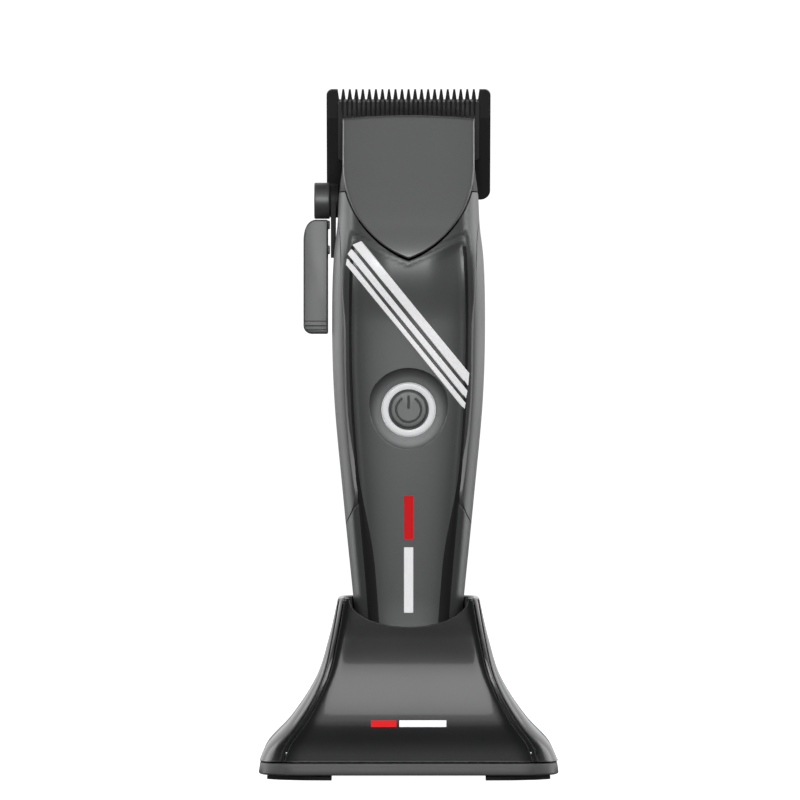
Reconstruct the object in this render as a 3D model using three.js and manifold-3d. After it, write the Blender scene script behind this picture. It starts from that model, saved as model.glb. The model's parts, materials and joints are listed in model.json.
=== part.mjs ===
// A cordless hair clipper standing in its charging stand.
// Millimetres, +Z up, the button side faces -Y, the origin is on the floor under the stand's middle.
// The clipper hangs in a group of its own, whose origin is the bottom of its tail.

import * as THREE from 'three';
import { mergeVertices } from 'three/addons/utils/BufferGeometryUtils.js';
import Module from 'manifold-3d';

const wasm = await Module();
wasm.setup();

// ---- driving dimensions: the clipper ----
const CLIPPER_LENGTH = 170.2;     // tail to tooth tips
const HEAD_LENGTH = 47.2;         // where the handle turns into the head, measured from the tips
const BODY_WIDTH = 42.8;          // widest place of the handle
const BODY_DEPTH = 36.8;          // front to back at the same place
const WALL = 3.4;                 // housing wall
const TAIL_CAP_HEIGHT = 5;
const BLADE_WIDTH = 46;
const BLADE_LENGTH = 33;
const BLADE_THICKNESS = 2;
const BLADE_TILT = 25 * Math.PI / 180;
const TIP_OFFSET = 3;             // the tips lie this far behind the handle's centre plane
const CUTTER_WIDTH = 39.6;
const CUTTER_THICKNESS = 1.8;
const CUTTER_SETBACK = 2.2;       // cutter teeth behind the fixed teeth
const CUTTER_STROKE = 1.2;        // to each side
const CUTTER_TRAVEL = 1.2;        // along the blade, from the lever
const LEVER_SWEEP = 32 * Math.PI / 180;
const SHIELD_WIDTH = 36.8;
const SHIELD_THICKNESS = 2;
const MOTOR_RADIUS = 9;
const BATTERY_RADIUS = 7.1;
const BATTERY_LENGTH = 50;
const RING_RADIUS = 7.3;          // light ring, outside
const RING_BORE = 5.65;
const BUTTON_STROKE = 0.6;

// ---- driving dimensions: the stand ----
const STAND_WIDTH = 83.2;
const STAND_DEPTH = 72;
const STAND_HEIGHT = 50;
const SEAT_HEIGHT = 22;           // bottom of the clipper's tail above the floor
const FOOT_HEIGHT = 1.1;
const SKIRT_LOW = 1.4;
const SKIRT_HIGH = 4.8;
const STAND_WALL = 1.8;
const CRADLE_WALL = 1.6;
const CRADLE_CLEARANCE = 0.5;     // around the clipper's tail
const PIN_RADIUS = 1.2;
const PIN_SPREAD = 5;             // from the centre plane
const PIN_BACK = 4;               // behind the centre plane
const PIN_TRAVEL = 0.8;

// ---- clearances ----
const GAP = 0.3;                  // between pieces that touch
const RUNNING = 0.3;              // round a shaft or a pin

// ---- finishes ----
const GUNMETAL = { color: 0x4b4e50, roughness: 0.38, metalness: 0.55 };
const GUNMETAL_LIGHT = { color: 0x5c6062, roughness: 0.34, metalness: 0.6 };
const BLACK_STEEL = { color: 0x1c1d1f, roughness: 0.35, metalness: 0.8 };
const GLOSS_BLACK = { color: 0x0d0e0f, roughness: 0.08, metalness: 0.0 };
const MATTE_BLACK = { color: 0x1a1a1b, roughness: 0.6, metalness: 0.0 };
const RUBBER = { color: 0x141414, roughness: 0.85, metalness: 0.0 };
const SPARKLE = { color: 0xe9e9ea, roughness: 0.35, metalness: 0.4 };
const LIGHT = { color: 0xf4f6f8, roughness: 0.3, metalness: 0.0 };
const STEEL = { color: 0x9a9da0, roughness: 0.3, metalness: 0.9 };
const GOLD = { color: 0xc9a24a, roughness: 0.3, metalness: 0.95 };
const BOARD = { color: 0x14502c, roughness: 0.5, metalness: 0.0 };
const CELL = { color: 0x2a5d8f, roughness: 0.4, metalness: 0.1 };

const clipper = new THREE.Group();
const blades = new THREE.Group();
const stand = new THREE.Group();

function add(parent, name, geometry, finish) {
  const mesh = new THREE.Mesh(geometry, new THREE.MeshStandardMaterial(finish));
  mesh.name = name;
  parent.add(mesh);
  return mesh;
}

// ---- solids ----
function toSolid(geometry) {
  const bare = geometry.clone();
  bare.deleteAttribute('normal');
  bare.deleteAttribute('uv');
  const merged = mergeVertices(bare, 1e-4);
  const vertProperties = new Float32Array(merged.attributes.position.array);
  const triVerts = new Uint32Array(merged.index.array);
  return new wasm.Manifold(new wasm.Mesh({ numProp: 3, vertProperties, triVerts }));
}

function toGeometry(solid) {
  const mesh = solid.getMesh();
  const geometry = new THREE.BufferGeometry();
  geometry.setAttribute('position', new THREE.BufferAttribute(mesh.vertProperties, 3));
  geometry.setIndex(new THREE.BufferAttribute(mesh.triVerts, 1));
  geometry.computeVertexNormals();
  return geometry;
}

// A box between two corners.
function block(low, high) {
  const size = [0, 1, 2].map((axis) => high[axis] - low[axis]);
  const geometry = new THREE.BoxGeometry(...size);
  return geometry.translate(...[0, 1, 2].map((axis) => (high[axis] + low[axis]) / 2));
}

// A round bar along an axis ('x', 'y' or 'z'), from one end to the other, at the two other coordinates.
function bar(axis, radius, from, to, first, second, sides = 24) {
  const geometry = new THREE.CylinderGeometry(radius, radius, to - from, sides);
  const middle = (from + to) / 2;
  if (axis === 'x') return geometry.rotateZ(-Math.PI / 2).translate(middle, first, second);
  if (axis === 'y') return geometry.translate(first, middle, second);
  return geometry.rotateX(Math.PI / 2).translate(first, second, middle);
}

// A turned piece about an axis along Y, from a closed profile of [radius, y].
function turned(profile, x, z, sides = 28) {
  const points = profile.map(([radius, y]) => new THREE.Vector2(radius, y));
  points.push(points[0].clone());
  return new THREE.LatheGeometry(points, sides).translate(x, 0, z);
}

// A plate drawn in the XZ plane, between two depths.
function plateXZ(shape, front, back, curveSegments = 6) {
  const options = { depth: back - front, bevelEnabled: false, curveSegments };
  return new THREE.ExtrudeGeometry(shape, options).rotateX(Math.PI / 2).translate(0, back, 0);
}

// A plate drawn in the YZ plane, between two X.
function plateYZ(shape, left, right, curveSegments = 6) {
  const options = { depth: right - left, bevelEnabled: false, curveSegments };
  const geometry = new THREE.ExtrudeGeometry(shape, options);
  return geometry.applyMatrix4(new THREE.Matrix4().set(0, 0, 1, left, 1, 0, 0, 0, 0, 1, 0, 0, 0, 0, 0, 1));
}

function polygon(points) {
  return new THREE.Shape(points.map(([a, b]) => new THREE.Vector2(a, b)));
}

// A tall form: an outline in the unit square, carried up through levels and stretched to each level's size.
function form(outline, levels, sizeAt, curveSegments) {
  const steps = levels.length - 1;
  const options = { depth: 1, steps, bevelEnabled: false, curveSegments };
  const geometry = new THREE.ExtrudeGeometry(outline, options);
  const position = geometry.attributes.position;
  for (let i = 0; i < position.count; i++) {
    const z = levels[Math.round(position.getZ(i) * steps)];
    const { half, front, back } = sizeAt(z);
    const share = (position.getY(i) + 1) / 2;
    position.setXYZ(i, position.getX(i) * half, front + (back - front) * share, z);
  }
  return geometry;
}

function levelsBetween(low, high, count) {
  return Array.from({ length: count + 1 }, (_, i) => low + (high - low) * i / count);
}

// ---- the clipper's outer form ----
const HANDLE_LENGTH = CLIPPER_LENGTH - HEAD_LENGTH;
const fromTips = (distance) => CLIPPER_LENGTH - distance;

// Height, then shares of half the body's width, of half its depth in front, and of half its depth behind.
const BODY_STATIONS = [
  [0, 0.589, 0.62, 0.641],
  [0.034 * HANDLE_LENGTH, 0.617, 0.685, 0.696],
  [0.228 * HANDLE_LENGTH, 0.724, 0.777, 0.783],
  [0.455 * HANDLE_LENGTH, 0.855, 0.87, 0.826],
  [0.683 * HANDLE_LENGTH, 0.973, 0.946, 0.88],
  [0.85 * HANDLE_LENGTH, 1, 1, 0.935],
  [HANDLE_LENGTH, 0.977, 1.076, 0.989],
  [fromTips(38.2), 0.93, 0.902, 1],
  [fromTips(30.2), 0.911, 0.717, 0.957],
  [fromTips(20.2), 0.857, 0.478, 0.761],
  [fromTips(8.2), 0.855, 0.196, 0.489],
];
const bodyCurve = new THREE.CubicInterpolant(
  new Float32Array(BODY_STATIONS.map((station) => station[0])),
  new Float32Array(BODY_STATIONS.flatMap((station) => station.slice(1))),
  3,
);

function bodySizeAt(z) {
  const [width, front, back] = bodyCurve.evaluate(z);
  return { half: width * BODY_WIDTH / 2, front: -front * BODY_DEPTH / 2, back: back * BODY_DEPTH / 2 };
}

// Nearly flat in front, round shoulders, straight sides and a round back.
function bodyOutline() {
  const outline = new THREE.Shape();
  outline.moveTo(0, -1);
  outline.bezierCurveTo(0.45, -1, 0.7, -0.95, 0.8, -0.86);
  outline.bezierCurveTo(0.92, -0.76, 1, -0.5, 1, -0.2);
  outline.bezierCurveTo(1, 0.45, 0.8, 1, 0, 1);
  outline.bezierCurveTo(-0.8, 1, -1, 0.45, -1, -0.2);
  outline.bezierCurveTo(-1, -0.5, -0.92, -0.76, -0.8, -0.86);
  outline.bezierCurveTo(-0.7, -0.95, -0.45, -1, 0, -1);
  return outline;
}

function bodySolid(low, high, count, { side = 0, front = side, back = side }) {
  const sizeAt = (z) => {
    const size = bodySizeAt(z);
    return { half: size.half - side, front: size.front + front, back: size.back - back };
  };
  return toSolid(form(bodyOutline(), levelsBetween(low, high, count), sizeAt, 4));
}

// Moves every point of a piece forward or back with the body's front face.
function followFront(geometry) {
  const position = geometry.attributes.position;
  for (let i = 0; i < position.count; i++) {
    position.setY(i, position.getY(i) + bodySizeAt(position.getZ(i)).front);
  }
  return geometry;
}

// ---- places on the clipper ----
const HOUSING_TOP = fromTips(29.2);   // in front; the rear housing ends lower
const REAR_TOP = fromTips(37);
const SHIELD_TOP = fromTips(8.2);
const SHIELD_BEND = fromTips(21.4);
const SHIELD_TIP = fromTips(48);
const HUB_Y = 9;
const HUB_Z = fromTips(31.2);
const HUB_RADIUS = 5.1;
const BUTTON_Z = 0.653 * HANDLE_LENGTH;
const MOTOR_Y = -0.5;
const FORK_BOTTOM = fromTips(41.7);
const MOTOR_TOP = fromTips(53.2);
const MOTOR_LENGTH = 28;
const BATTERY_LOW = 0.114 * HANDLE_LENGTH;

// Depths behind the front face at the button.
const BUTTON_SINK = 1.2;          // the ring's face
const RING_FLANGE = WALL + 0.9;
const RING_BACK = RING_FLANGE + 0.8;
const COLLAR_BACK = RING_BACK + GAP + 0.8;
const PLUNGER_END = COLLAR_BACK + 0.4;
const SWITCH_FRONT = PLUNGER_END + BUTTON_STROKE + GAP;
const BOARD_FRONT = SWITCH_FRONT + 1.1 + GAP;
const BOARD_THICKNESS = 1.2;

// A point of the blade set's frame (y from the fixed blade's back face, z from the tips) in the clipper's.
function fromBlade(y, z) {
  const cos = Math.cos(BLADE_TILT);
  const sin = Math.sin(BLADE_TILT);
  return [TIP_OFFSET + y * cos - z * sin, CLIPPER_LENGTH + y * sin + z * cos];
}

// And back again.
function toBlade(y, z) {
  const cos = Math.cos(BLADE_TILT);
  const sin = Math.sin(BLADE_TILT);
  const dy = y - TIP_OFFSET;
  const dz = z - CLIPPER_LENGTH;
  return [dy * cos + dz * sin, dz * cos - dy * sin];
}

// A box given in the blade set's frame, as a solid in the clipper's.
function bladeBlock(low, high) {
  const geometry = block(low, high).rotateX(BLADE_TILT).translate(0, TIP_OFFSET, CLIPPER_LENGTH);
  return toSolid(geometry);
}

// ---- the shield's outline: arched top, straight sides, a pointed arch below ----
function shieldOutline(grow) {
  const half = SHIELD_WIDTH / 2 + grow;
  const tip = SHIELD_TIP - 1.4 * grow;
  const outline = new THREE.Shape();
  outline.moveTo(-half, SHIELD_TOP - 1 + grow);
  outline.lineTo(-half, SHIELD_BEND);
  outline.bezierCurveTo(-half * 0.99, SHIELD_BEND - 14.8, -half * 0.435, tip + 2.8, 0, tip);
  outline.bezierCurveTo(half * 0.435, tip + 2.8, half * 0.99, SHIELD_BEND - 14.8, half, SHIELD_BEND);
  outline.lineTo(half, SHIELD_TOP - 1 + grow);
  outline.quadraticCurveTo(0, SHIELD_TOP + 1 + grow, -half, SHIELD_TOP - 1 + grow);
  return outline;
}

const SHIELD_WRAP = 5.5;          // how far the shield's sides reach back
const SHIELD_PROUD = 0.5;

function shieldPrism(grow) {
  return toSolid(followFront(plateXZ(shieldOutline(grow), -6, SHIELD_WRAP + grow, 10)));
}

function makeShield() {
  const low = SHIELD_TIP - 4;
  const high = SHIELD_TOP + 0.5;
  const outside = bodySolid(low, high, 8, { side: -SHIELD_PROUD });
  const inside = bodySolid(low - 1, high + 1, 8, { side: SHIELD_THICKNESS - SHIELD_PROUD });
  return toGeometry(outside.subtract(inside).intersect(shieldPrism(0)));
}

// ---- side grips: inlays on both sides of the handle ----
function gripOutline(grow) {
  const top = fromTips(36.7) + grow;
  const low = fromTips(122.5) - grow;
  const outline = new THREE.Shape();
  outline.moveTo(-3, top);
  outline.bezierCurveTo(-10.5, top - 3, -15.1 - grow, top - 8, -15.2 - grow, top - 17);
  outline.bezierCurveTo(-15.3 - grow, top - 36, -13.3 - grow, low + 34, -13.8 - grow, low + 10);
  outline.bezierCurveTo(-13.6 - grow, low + 4, -10, low + 1, 0, low);
  outline.bezierCurveTo(5, low + 8, 7.5 + grow, low + 16, 8 + grow, low + 34);
  outline.bezierCurveTo(8.4 + grow, top - 30, 8.2 + grow, top - 14, -3, top);
  return outline;
}

function gripPrism(side, grow) {
  const near = 0.62 * BODY_WIDTH / 2 - grow;
  const far = BODY_WIDTH;
  const range = side < 0 ? [-far, -near] : [near, far];
  return toSolid(plateYZ(gripOutline(grow), ...range, 4));
}

const GRIP_THICKNESS = 1.5;

function makeGrip(side) {
  const low = fromTips(124);
  const high = fromTips(34);
  const outside = bodySolid(low, high, 8, { side: 0 });
  const inside = bodySolid(low - 1, high + 1, 6, { side: GRIP_THICKNESS });
  return toGeometry(outside.subtract(inside).intersect(gripPrism(side, 0)));
}

// ---- the three diagonal stripes across the front ----
const STRIPE_SLOPE = Math.atan(1.206);
const STRIPE_DEPTH = 0.5;
const STRIPE_GAP = 0.2;           // beside a stripe in its groove
// left and right place the upper and the lower corner at each end, as shares of the body's half width.
const STRIPES = [
  { name: 'stripe_wide', width: 2.4, x: 1.15, z: fromTips(62.5), left: [0.626, 0.734], right: [0.771, 0.766] },
  { name: 'stripe_middle', width: 1.6, x: -0.15, z: fromTips(65.8), left: [0.743, 0.771], right: [0.757, 0.743] },
  { name: 'stripe_narrow', width: 1.25, x: -0.8, z: fromTips(68.8), left: [0.776, 0.78], right: [0.743, 0.729] },
];

function stripePrism(stripe, grow) {
  const edge = stripe.width / 2 + grow;
  const corner = (x, across) => {
    const along = (x - stripe.x - across * Math.sin(STRIPE_SLOPE)) / Math.cos(STRIPE_SLOPE);
    return [x, stripe.z - along * Math.sin(STRIPE_SLOPE) + across * Math.cos(STRIPE_SLOPE)];
  };
  const [leftUpper, leftLower] = stripe.left.map((share) => -share * BODY_WIDTH / 2 - grow);
  const [rightUpper, rightLower] = stripe.right.map((share) => share * BODY_WIDTH / 2 + grow);
  const outline = polygon([corner(leftUpper, edge), corner(leftLower, -edge), corner(rightLower, -edge),
    corner(rightUpper, edge)]);
  return toSolid(plateXZ(outline, -BODY_DEPTH, 0));
}

// The outermost layer of the body where the stripes lie, from above its surface down to a depth.
function stripeLayer(above, depth) {
  const low = fromTips(95);
  const high = fromTips(35);
  return bodySolid(low, high, 6, { side: -above }).subtract(bodySolid(low, high, 6, { side: depth }));
}

function makeStripe(stripe) {
  return toGeometry(stripeLayer(0, STRIPE_DEPTH).intersect(stripePrism(stripe, 0)));
}

// ---- housings: front and rear halves of one tube ----
function housingHalf(front) {
  const low = TAIL_CAP_HEIGHT + GAP;
  const high = front ? HOUSING_TOP : REAR_TOP;
  const outside = bodySolid(low, high, 11, { side: 0 });
  const inside = bodySolid(low - 1, high + 1, 8, { side: WALL });
  const reach = BODY_WIDTH;
  const range = front ? [-reach, -GAP / 2] : [GAP / 2, reach];
  const half = block([-reach, range[0], -1], [reach, range[1], CLIPPER_LENGTH]);
  let housing = outside.subtract(inside).intersect(toSolid(half));
  for (const side of [-1, 1]) {
    const pocketLow = fromTips(126);
    const pocketHigh = fromTips(32);
    const pocket = bodySolid(pocketLow, pocketHigh, 3, { side: -2 })
      .subtract(bodySolid(pocketLow - 1, pocketHigh + 1, 6, { side: GRIP_THICKNESS + GAP }));
    housing = housing.subtract(pocket.intersect(gripPrism(side, GAP)));
  }
  return housing;
}

function makeFrontHousing() {
  let housing = housingHalf(true).subtract(shieldPrism(GAP));
  const layer = stripeLayer(2, STRIPE_DEPTH + GAP);
  for (const stripe of STRIPES) housing = housing.subtract(layer.intersect(stripePrism(stripe, STRIPE_GAP)));
  const face = bodySizeAt(BUTTON_Z).front;
  const dish = turned([[0, face - 2], [RING_RADIUS + 7.3, face - 2], [RING_RADIUS + GAP, face + BUTTON_SINK],
    [RING_RADIUS + GAP, face + RING_BACK], [0, face + RING_BACK]], 0, BUTTON_Z);
  return toGeometry(housing.subtract(toSolid(dish)));
}

function makeRearHousing() {
  let housing = housingHalf(false);
  for (const z of SCREW_HEIGHTS) {
    const boss = toSolid(bar('y', 3.2, 9.2, bodySizeAt(z).back - 1, 0, z));
    const bore = toSolid(bar('y', 1.5, 0, BODY_DEPTH, 0, z));
    const sink = toSolid(bar('y', 2.7, bodySizeAt(z).back - 2.4, BODY_DEPTH, 0, z));
    housing = housing.add(boss).subtract(bore).subtract(sink);
  }
  return toGeometry(housing);
}

const SCREW_HEIGHTS = [0.075 * HANDLE_LENGTH, 0.69 * HANDLE_LENGTH];

// A screw that stands along Y, its head behind.
function makeHousingScrew(z) {
  const head = bodySizeAt(z).back - 2.4 + GAP;
  return turned([[0, head - 7], [1.2, head - 7], [1.2, head], [2.3, head], [2.3, head + 1.3], [0, head + 1.3]],
    0, z, 12);
}

// ---- tail: the cap, its socket and its two contacts ----
const SOCKET_Y = -3.5;

function makeTailCap() {
  const sizeAt = (z) => {
    const { half, front, back } = bodySizeAt(z);
    const rounding = 2 * (1 - Math.sqrt(1 - (1 - Math.min(z, 3) / 3) ** 2 * 0.96));
    return { half: half - rounding, front: front + rounding, back: back - rounding };
  };
  let cap = toSolid(form(bodyOutline(), [0, 0.6, 1.8, TAIL_CAP_HEIGHT], sizeAt, 4));
  cap = cap.subtract(toSolid(block([-4.8, SOCKET_Y - 1.95, -1], [4.8, SOCKET_Y + 1.95, 9])));
  for (const side of [-1, 1]) {
    cap = cap.subtract(toSolid(bar('z', 2.2, -1, 1.9, side * PIN_SPREAD, PIN_BACK)));
  }
  return toGeometry(cap);
}

function makeTailSocket() {
  const shell = toSolid(block([-4.5, SOCKET_Y - 1.65, 0.4], [4.5, SOCKET_Y + 1.65, 7.5]));
  const mouth = toSolid(block([-4.15, SOCKET_Y - 1.3, -1], [4.15, SOCKET_Y + 1.3, 6.3]));
  const tongue = toSolid(block([-3.2, SOCKET_Y - 0.35, 1.6], [3.2, SOCKET_Y + 0.35, 6.5]));
  return toGeometry(shell.subtract(mouth).add(tongue));
}

// ---- the button, its light ring, the switch and the board ----
function makeLightRing() {
  const face = bodySizeAt(BUTTON_Z).front;
  const flange = RING_RADIUS + 1.5;
  return turned([[RING_BORE, face + BUTTON_SINK], [RING_RADIUS, face + BUTTON_SINK], [RING_RADIUS, face + RING_FLANGE],
    [flange, face + RING_FLANGE], [flange, face + RING_BACK], [RING_BORE, face + RING_BACK]], 0, BUTTON_Z, 32);
}

function makePowerButton() {
  const face = bodySizeAt(BUTTON_Z).front;
  const radius = RING_BORE - RUNNING;
  const collar = face + RING_BACK + GAP;
  return turned([[0, face + 1.1], [radius, face + 1.1], [radius, collar], [radius + 1, collar],
    [radius + 1, face + COLLAR_BACK], [1.5, face + COLLAR_BACK], [1.5, face + PLUNGER_END],
    [0, face + PLUNGER_END]], 0, BUTTON_Z, 32);
}

function addControls() {
  const face = bodySizeAt(BUTTON_Z).front;
  add(clipper, 'light_ring', makeLightRing(), LIGHT);
  add(clipper, 'power_button', makePowerButton(), GUNMETAL);
  const switchBack = face + BOARD_FRONT - GAP;
  const tact = block([-3, face + SWITCH_FRONT, BUTTON_Z - 3], [3, switchBack, BUTTON_Z + 3]);
  add(clipper, 'tact_switch', tact, MATTE_BLACK);
  const boardBack = face + BOARD_FRONT + BOARD_THICKNESS;
  const board = block([-11, face + BOARD_FRONT, BUTTON_Z - 14], [11, boardBack, BUTTON_Z + 7]);
  add(clipper, 'main_board', board, BOARD);
}

// ---- battery ----
function makeBattery() {
  return bar('z', BATTERY_RADIUS, BATTERY_LOW, BATTERY_LOW + BATTERY_LENGTH, 0, 0.5, 28);
}

function makeBatteryHolder() {
  const tray = toSolid(block([-6, 3, BATTERY_LOW + 6], [6, 8.3, BATTERY_LOW + BATTERY_LENGTH - 4]));
  const bed = toSolid(bar('z', BATTERY_RADIUS + GAP, 0, CLIPPER_LENGTH, 0, 0.5, 28));
  return toGeometry(tray.subtract(bed));
}

// ---- motor ----
const CRANK_THROW = CUTTER_STROKE;
const CRANK_PIN = 1;
const MOUNT_TOP = MOTOR_TOP + GAP + 2;

function makeMotorMount() {
  const plate = toSolid(bar('z', MOTOR_RADIUS + 1.5, MOTOR_TOP + GAP, MOUNT_TOP, 0, MOTOR_Y, 28))
    .add(toSolid(block([-13.5, MOTOR_Y - 4, MOTOR_TOP + GAP], [13.5, MOTOR_Y + 4, MOUNT_TOP])));
  return toGeometry(plate.subtract(toSolid(bar('z', 2.4, 0, CLIPPER_LENGTH, 0, MOTOR_Y))));
}

function makeCrank() {
  const disc = toSolid(bar('z', 3.4, MOUNT_TOP + 1, MOUNT_TOP + 4, 0, MOTOR_Y));
  const pin = toSolid(bar('z', CRANK_PIN, MOUNT_TOP + 3.5, FORK_BOTTOM + 3.6, CRANK_THROW, MOTOR_Y, 14));
  const bore = toSolid(bar('z', 1 + GAP, 0, MOUNT_TOP + 3, 0, MOTOR_Y, 16));
  return toGeometry(disc.add(pin).subtract(bore));
}

function addMotor() {
  add(clipper, 'motor', bar('z', MOTOR_RADIUS, MOTOR_TOP - MOTOR_LENGTH, MOTOR_TOP, 0, MOTOR_Y, 28), STEEL);
  add(clipper, 'motor_mount', makeMotorMount(), MATTE_BLACK);
  const shaft = bar('z', 1, MOTOR_TOP + GAP, MOUNT_TOP + 3 - GAP, 0, MOTOR_Y, 16);
  add(clipper, 'motor_shaft', shaft, STEEL);
  add(clipper, 'crank', makeCrank(), STEEL);
}

// ---- the blade set, in its own tilted frame: y from the fixed blade's back face, z from the tips ----
// A plate with a comb of tapering slots along its top edge.
function combOutline({ half, top, low, pitch, slots, tipWidth, rootWidth, depth, corner, heel }) {
  const outline = new THREE.Shape();
  outline.moveTo(-half + heel, low);
  outline.absarc(half - heel, low + heel, heel, -Math.PI / 2, 0, false);
  outline.absarc(half - corner, top - corner, corner, 0, Math.PI / 2, false);
  for (let i = slots - 1; i >= 0; i--) {
    const x = (i - (slots - 1) / 2) * pitch;
    outline.lineTo(x + tipWidth / 2, top);
    outline.lineTo(x + rootWidth / 2, top - depth);
    outline.lineTo(x - rootWidth / 2, top - depth);
    outline.lineTo(x - tipWidth / 2, top);
  }
  outline.absarc(-half + corner, top - corner, corner, Math.PI / 2, Math.PI, false);
  outline.absarc(-half + heel, low + heel, heel, Math.PI, 1.5 * Math.PI, false);
  return outline;
}

const BLADE_SCREW_X = 15.5;
const BLADE_SCREW_Z = -26.5;
const TOOTH_PITCH = 1.83;
const CUTTER_PITCH = 1.32;

function makeFixedBlade() {
  const slots = 2 * Math.floor((BLADE_WIDTH - 5.5) / TOOTH_PITCH / 2);
  const outline = combOutline({ half: BLADE_WIDTH / 2, top: 0, low: -BLADE_LENGTH, pitch: TOOTH_PITCH, slots,
    tipWidth: 1.3, rootWidth: 0.45, depth: 3.1, corner: 1.7, heel: 2.8 });
  let blade = toSolid(plateXZ(outline, -BLADE_THICKNESS, 0, 5));
  const ramp = polygon([[-BLADE_THICKNESS, -8], [-0.7, 0.5], [-6, 0.5], [-6, -8]]);
  blade = blade.subtract(toSolid(plateYZ(ramp, -BLADE_WIDTH, BLADE_WIDTH)));
  for (const side of [-1, 1]) {
    const hole = turned([[0, -9], [1.7, -9], [1.7, -1.62], [3.52, 0.2], [0, 0.2]], side * BLADE_SCREW_X,
      BLADE_SCREW_Z, 16);
    blade = blade.subtract(toSolid(hole));
  }
  return toGeometry(blade);
}

const CUTTER_BACK = -BLADE_THICKNESS - GAP;
const CUTTER_FRONT = CUTTER_BACK - CUTTER_THICKNESS;
const CUTTER_LOW = -20;

function makeCutter() {
  const slots = 2 * Math.floor((CUTTER_WIDTH - 2.6) / CUTTER_PITCH / 2) + 1;
  const outline = combOutline({ half: CUTTER_WIDTH / 2, top: -CUTTER_SETBACK, low: CUTTER_LOW,
    pitch: CUTTER_PITCH, slots, tipWidth: 0.75, rootWidth: 0.4, depth: 5, corner: 0.8, heel: 1 });
  return plateXZ(outline, CUTTER_FRONT, CUTTER_BACK, 3);
}

function makeBladeScrew(side) {
  return turned([[0, -8], [1.3, -8], [1.3, -1.6], [2.7, -0.2], [2.7, -0.1], [0, -0.1]], side * BLADE_SCREW_X,
    BLADE_SCREW_Z, 16);
}

// The lever's shaft in the blade set's frame, and the eccentric that lifts the carriage.
const [HUB_BLADE_Y, HUB_BLADE_Z] = toBlade(HUB_Y, HUB_Z);
const ECCENTRIC_OFFSET = CUTTER_TRAVEL / (2 * Math.sin(LEVER_SWEEP / 2));
const ECCENTRIC_RADIUS = 3;
const SHAFT_RADIUS = 1.8;
const CARRIAGE_LOW = HUB_BLADE_Z + ECCENTRIC_RADIUS - CUTTER_TRAVEL / 2 + 0.45;
const CARRIAGE_HIGH = CUTTER_LOW - 2.5;
const CARRIAGE_HALF = 8;

function makeCarriage() {
  return block([-CARRIAGE_HALF, HUB_BLADE_Y - 1.8, CARRIAGE_LOW],
    [CARRIAGE_HALF, -BLADE_THICKNESS - 2 * GAP, CARRIAGE_HIGH]);
}

// A hairpin of spring wire that presses the cutter onto the fixed blade.
function makeTensionSpring() {
  const y = CUTTER_FRONT - 0.9;
  const low = CUTTER_LOW - 1;
  const points = [[-9, -9], [-9, low + 2.5], [-8.2, low + 0.6], [-6, low], [6, low], [8.2, low + 0.6],
    [9, low + 2.5], [9, -9]];
  const path = new THREE.CatmullRomCurve3(points.map(([x, z]) => new THREE.Vector3(x, y, z)));
  const section = new THREE.Shape();
  section.absarc(0, 0, 0.5, 0, 2 * Math.PI, false);
  return new THREE.ExtrudeGeometry(section, { steps: 20, extrudePath: path, curveSegments: 4 });
}

// The yoke: a foot on the cutter and an arm down to the crank, slotted at its lower end.
const YOKE_HALF = 5.4;
const YOKE_FRONT = MOTOR_Y - 2.6;
const YOKE_BACK = MOTOR_Y + 2.8;

function makeYoke() {
  const front = CUTTER_FRONT - GAP;
  const side = polygon([
    fromBlade(front, -10), fromBlade(front - 2, -10), fromBlade(front - 2.4, -14),
    [YOKE_FRONT, fromTips(22.5)], [YOKE_FRONT, FORK_BOTTOM], [YOKE_BACK, FORK_BOTTOM],
    [YOKE_BACK, fromTips(22.2)], fromBlade(front, CUTTER_LOW + 0.6),
  ]);
  const reach = CRANK_THROW + CUTTER_STROKE + CRANK_PIN + 0.2;
  const slot = block([-reach, -BODY_DEPTH, FORK_BOTTOM - 1], [reach, BODY_DEPTH, FORK_BOTTOM + 6]);
  const outer = reach + 1.6;
  const prongs = block([-outer, YOKE_FRONT, FORK_BOTTOM], [outer, YOKE_BACK, FORK_BOTTOM + 9]);
  const yoke = toSolid(plateYZ(side, -YOKE_HALF, YOKE_HALF)).add(toSolid(prongs));
  return toGeometry(yoke.subtract(toSolid(slot)));
}

function addBladeSet() {
  add(blades, 'fixed_blade', makeFixedBlade(), BLACK_STEEL);
  add(blades, 'cutter_blade', makeCutter(), BLACK_STEEL);
  add(blades, 'cutter_carriage', makeCarriage(), STEEL);
  add(blades, 'tension_spring', makeTensionSpring(), STEEL);
  add(blades, 'blade_screw_left', makeBladeScrew(-1), STEEL);
  add(blades, 'blade_screw_right', makeBladeScrew(1), STEEL);
  blades.rotation.x = BLADE_TILT;
  blades.position.set(0, TIP_OFFSET, CLIPPER_LENGTH);
  clipper.add(blades);
  add(clipper, 'drive_yoke', makeYoke(), MATTE_BLACK);
}

// ---- the head frame: two cheeks that carry the blade, joined by a floor above the motor ----
const CHEEK_INSIDE = 12;

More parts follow.
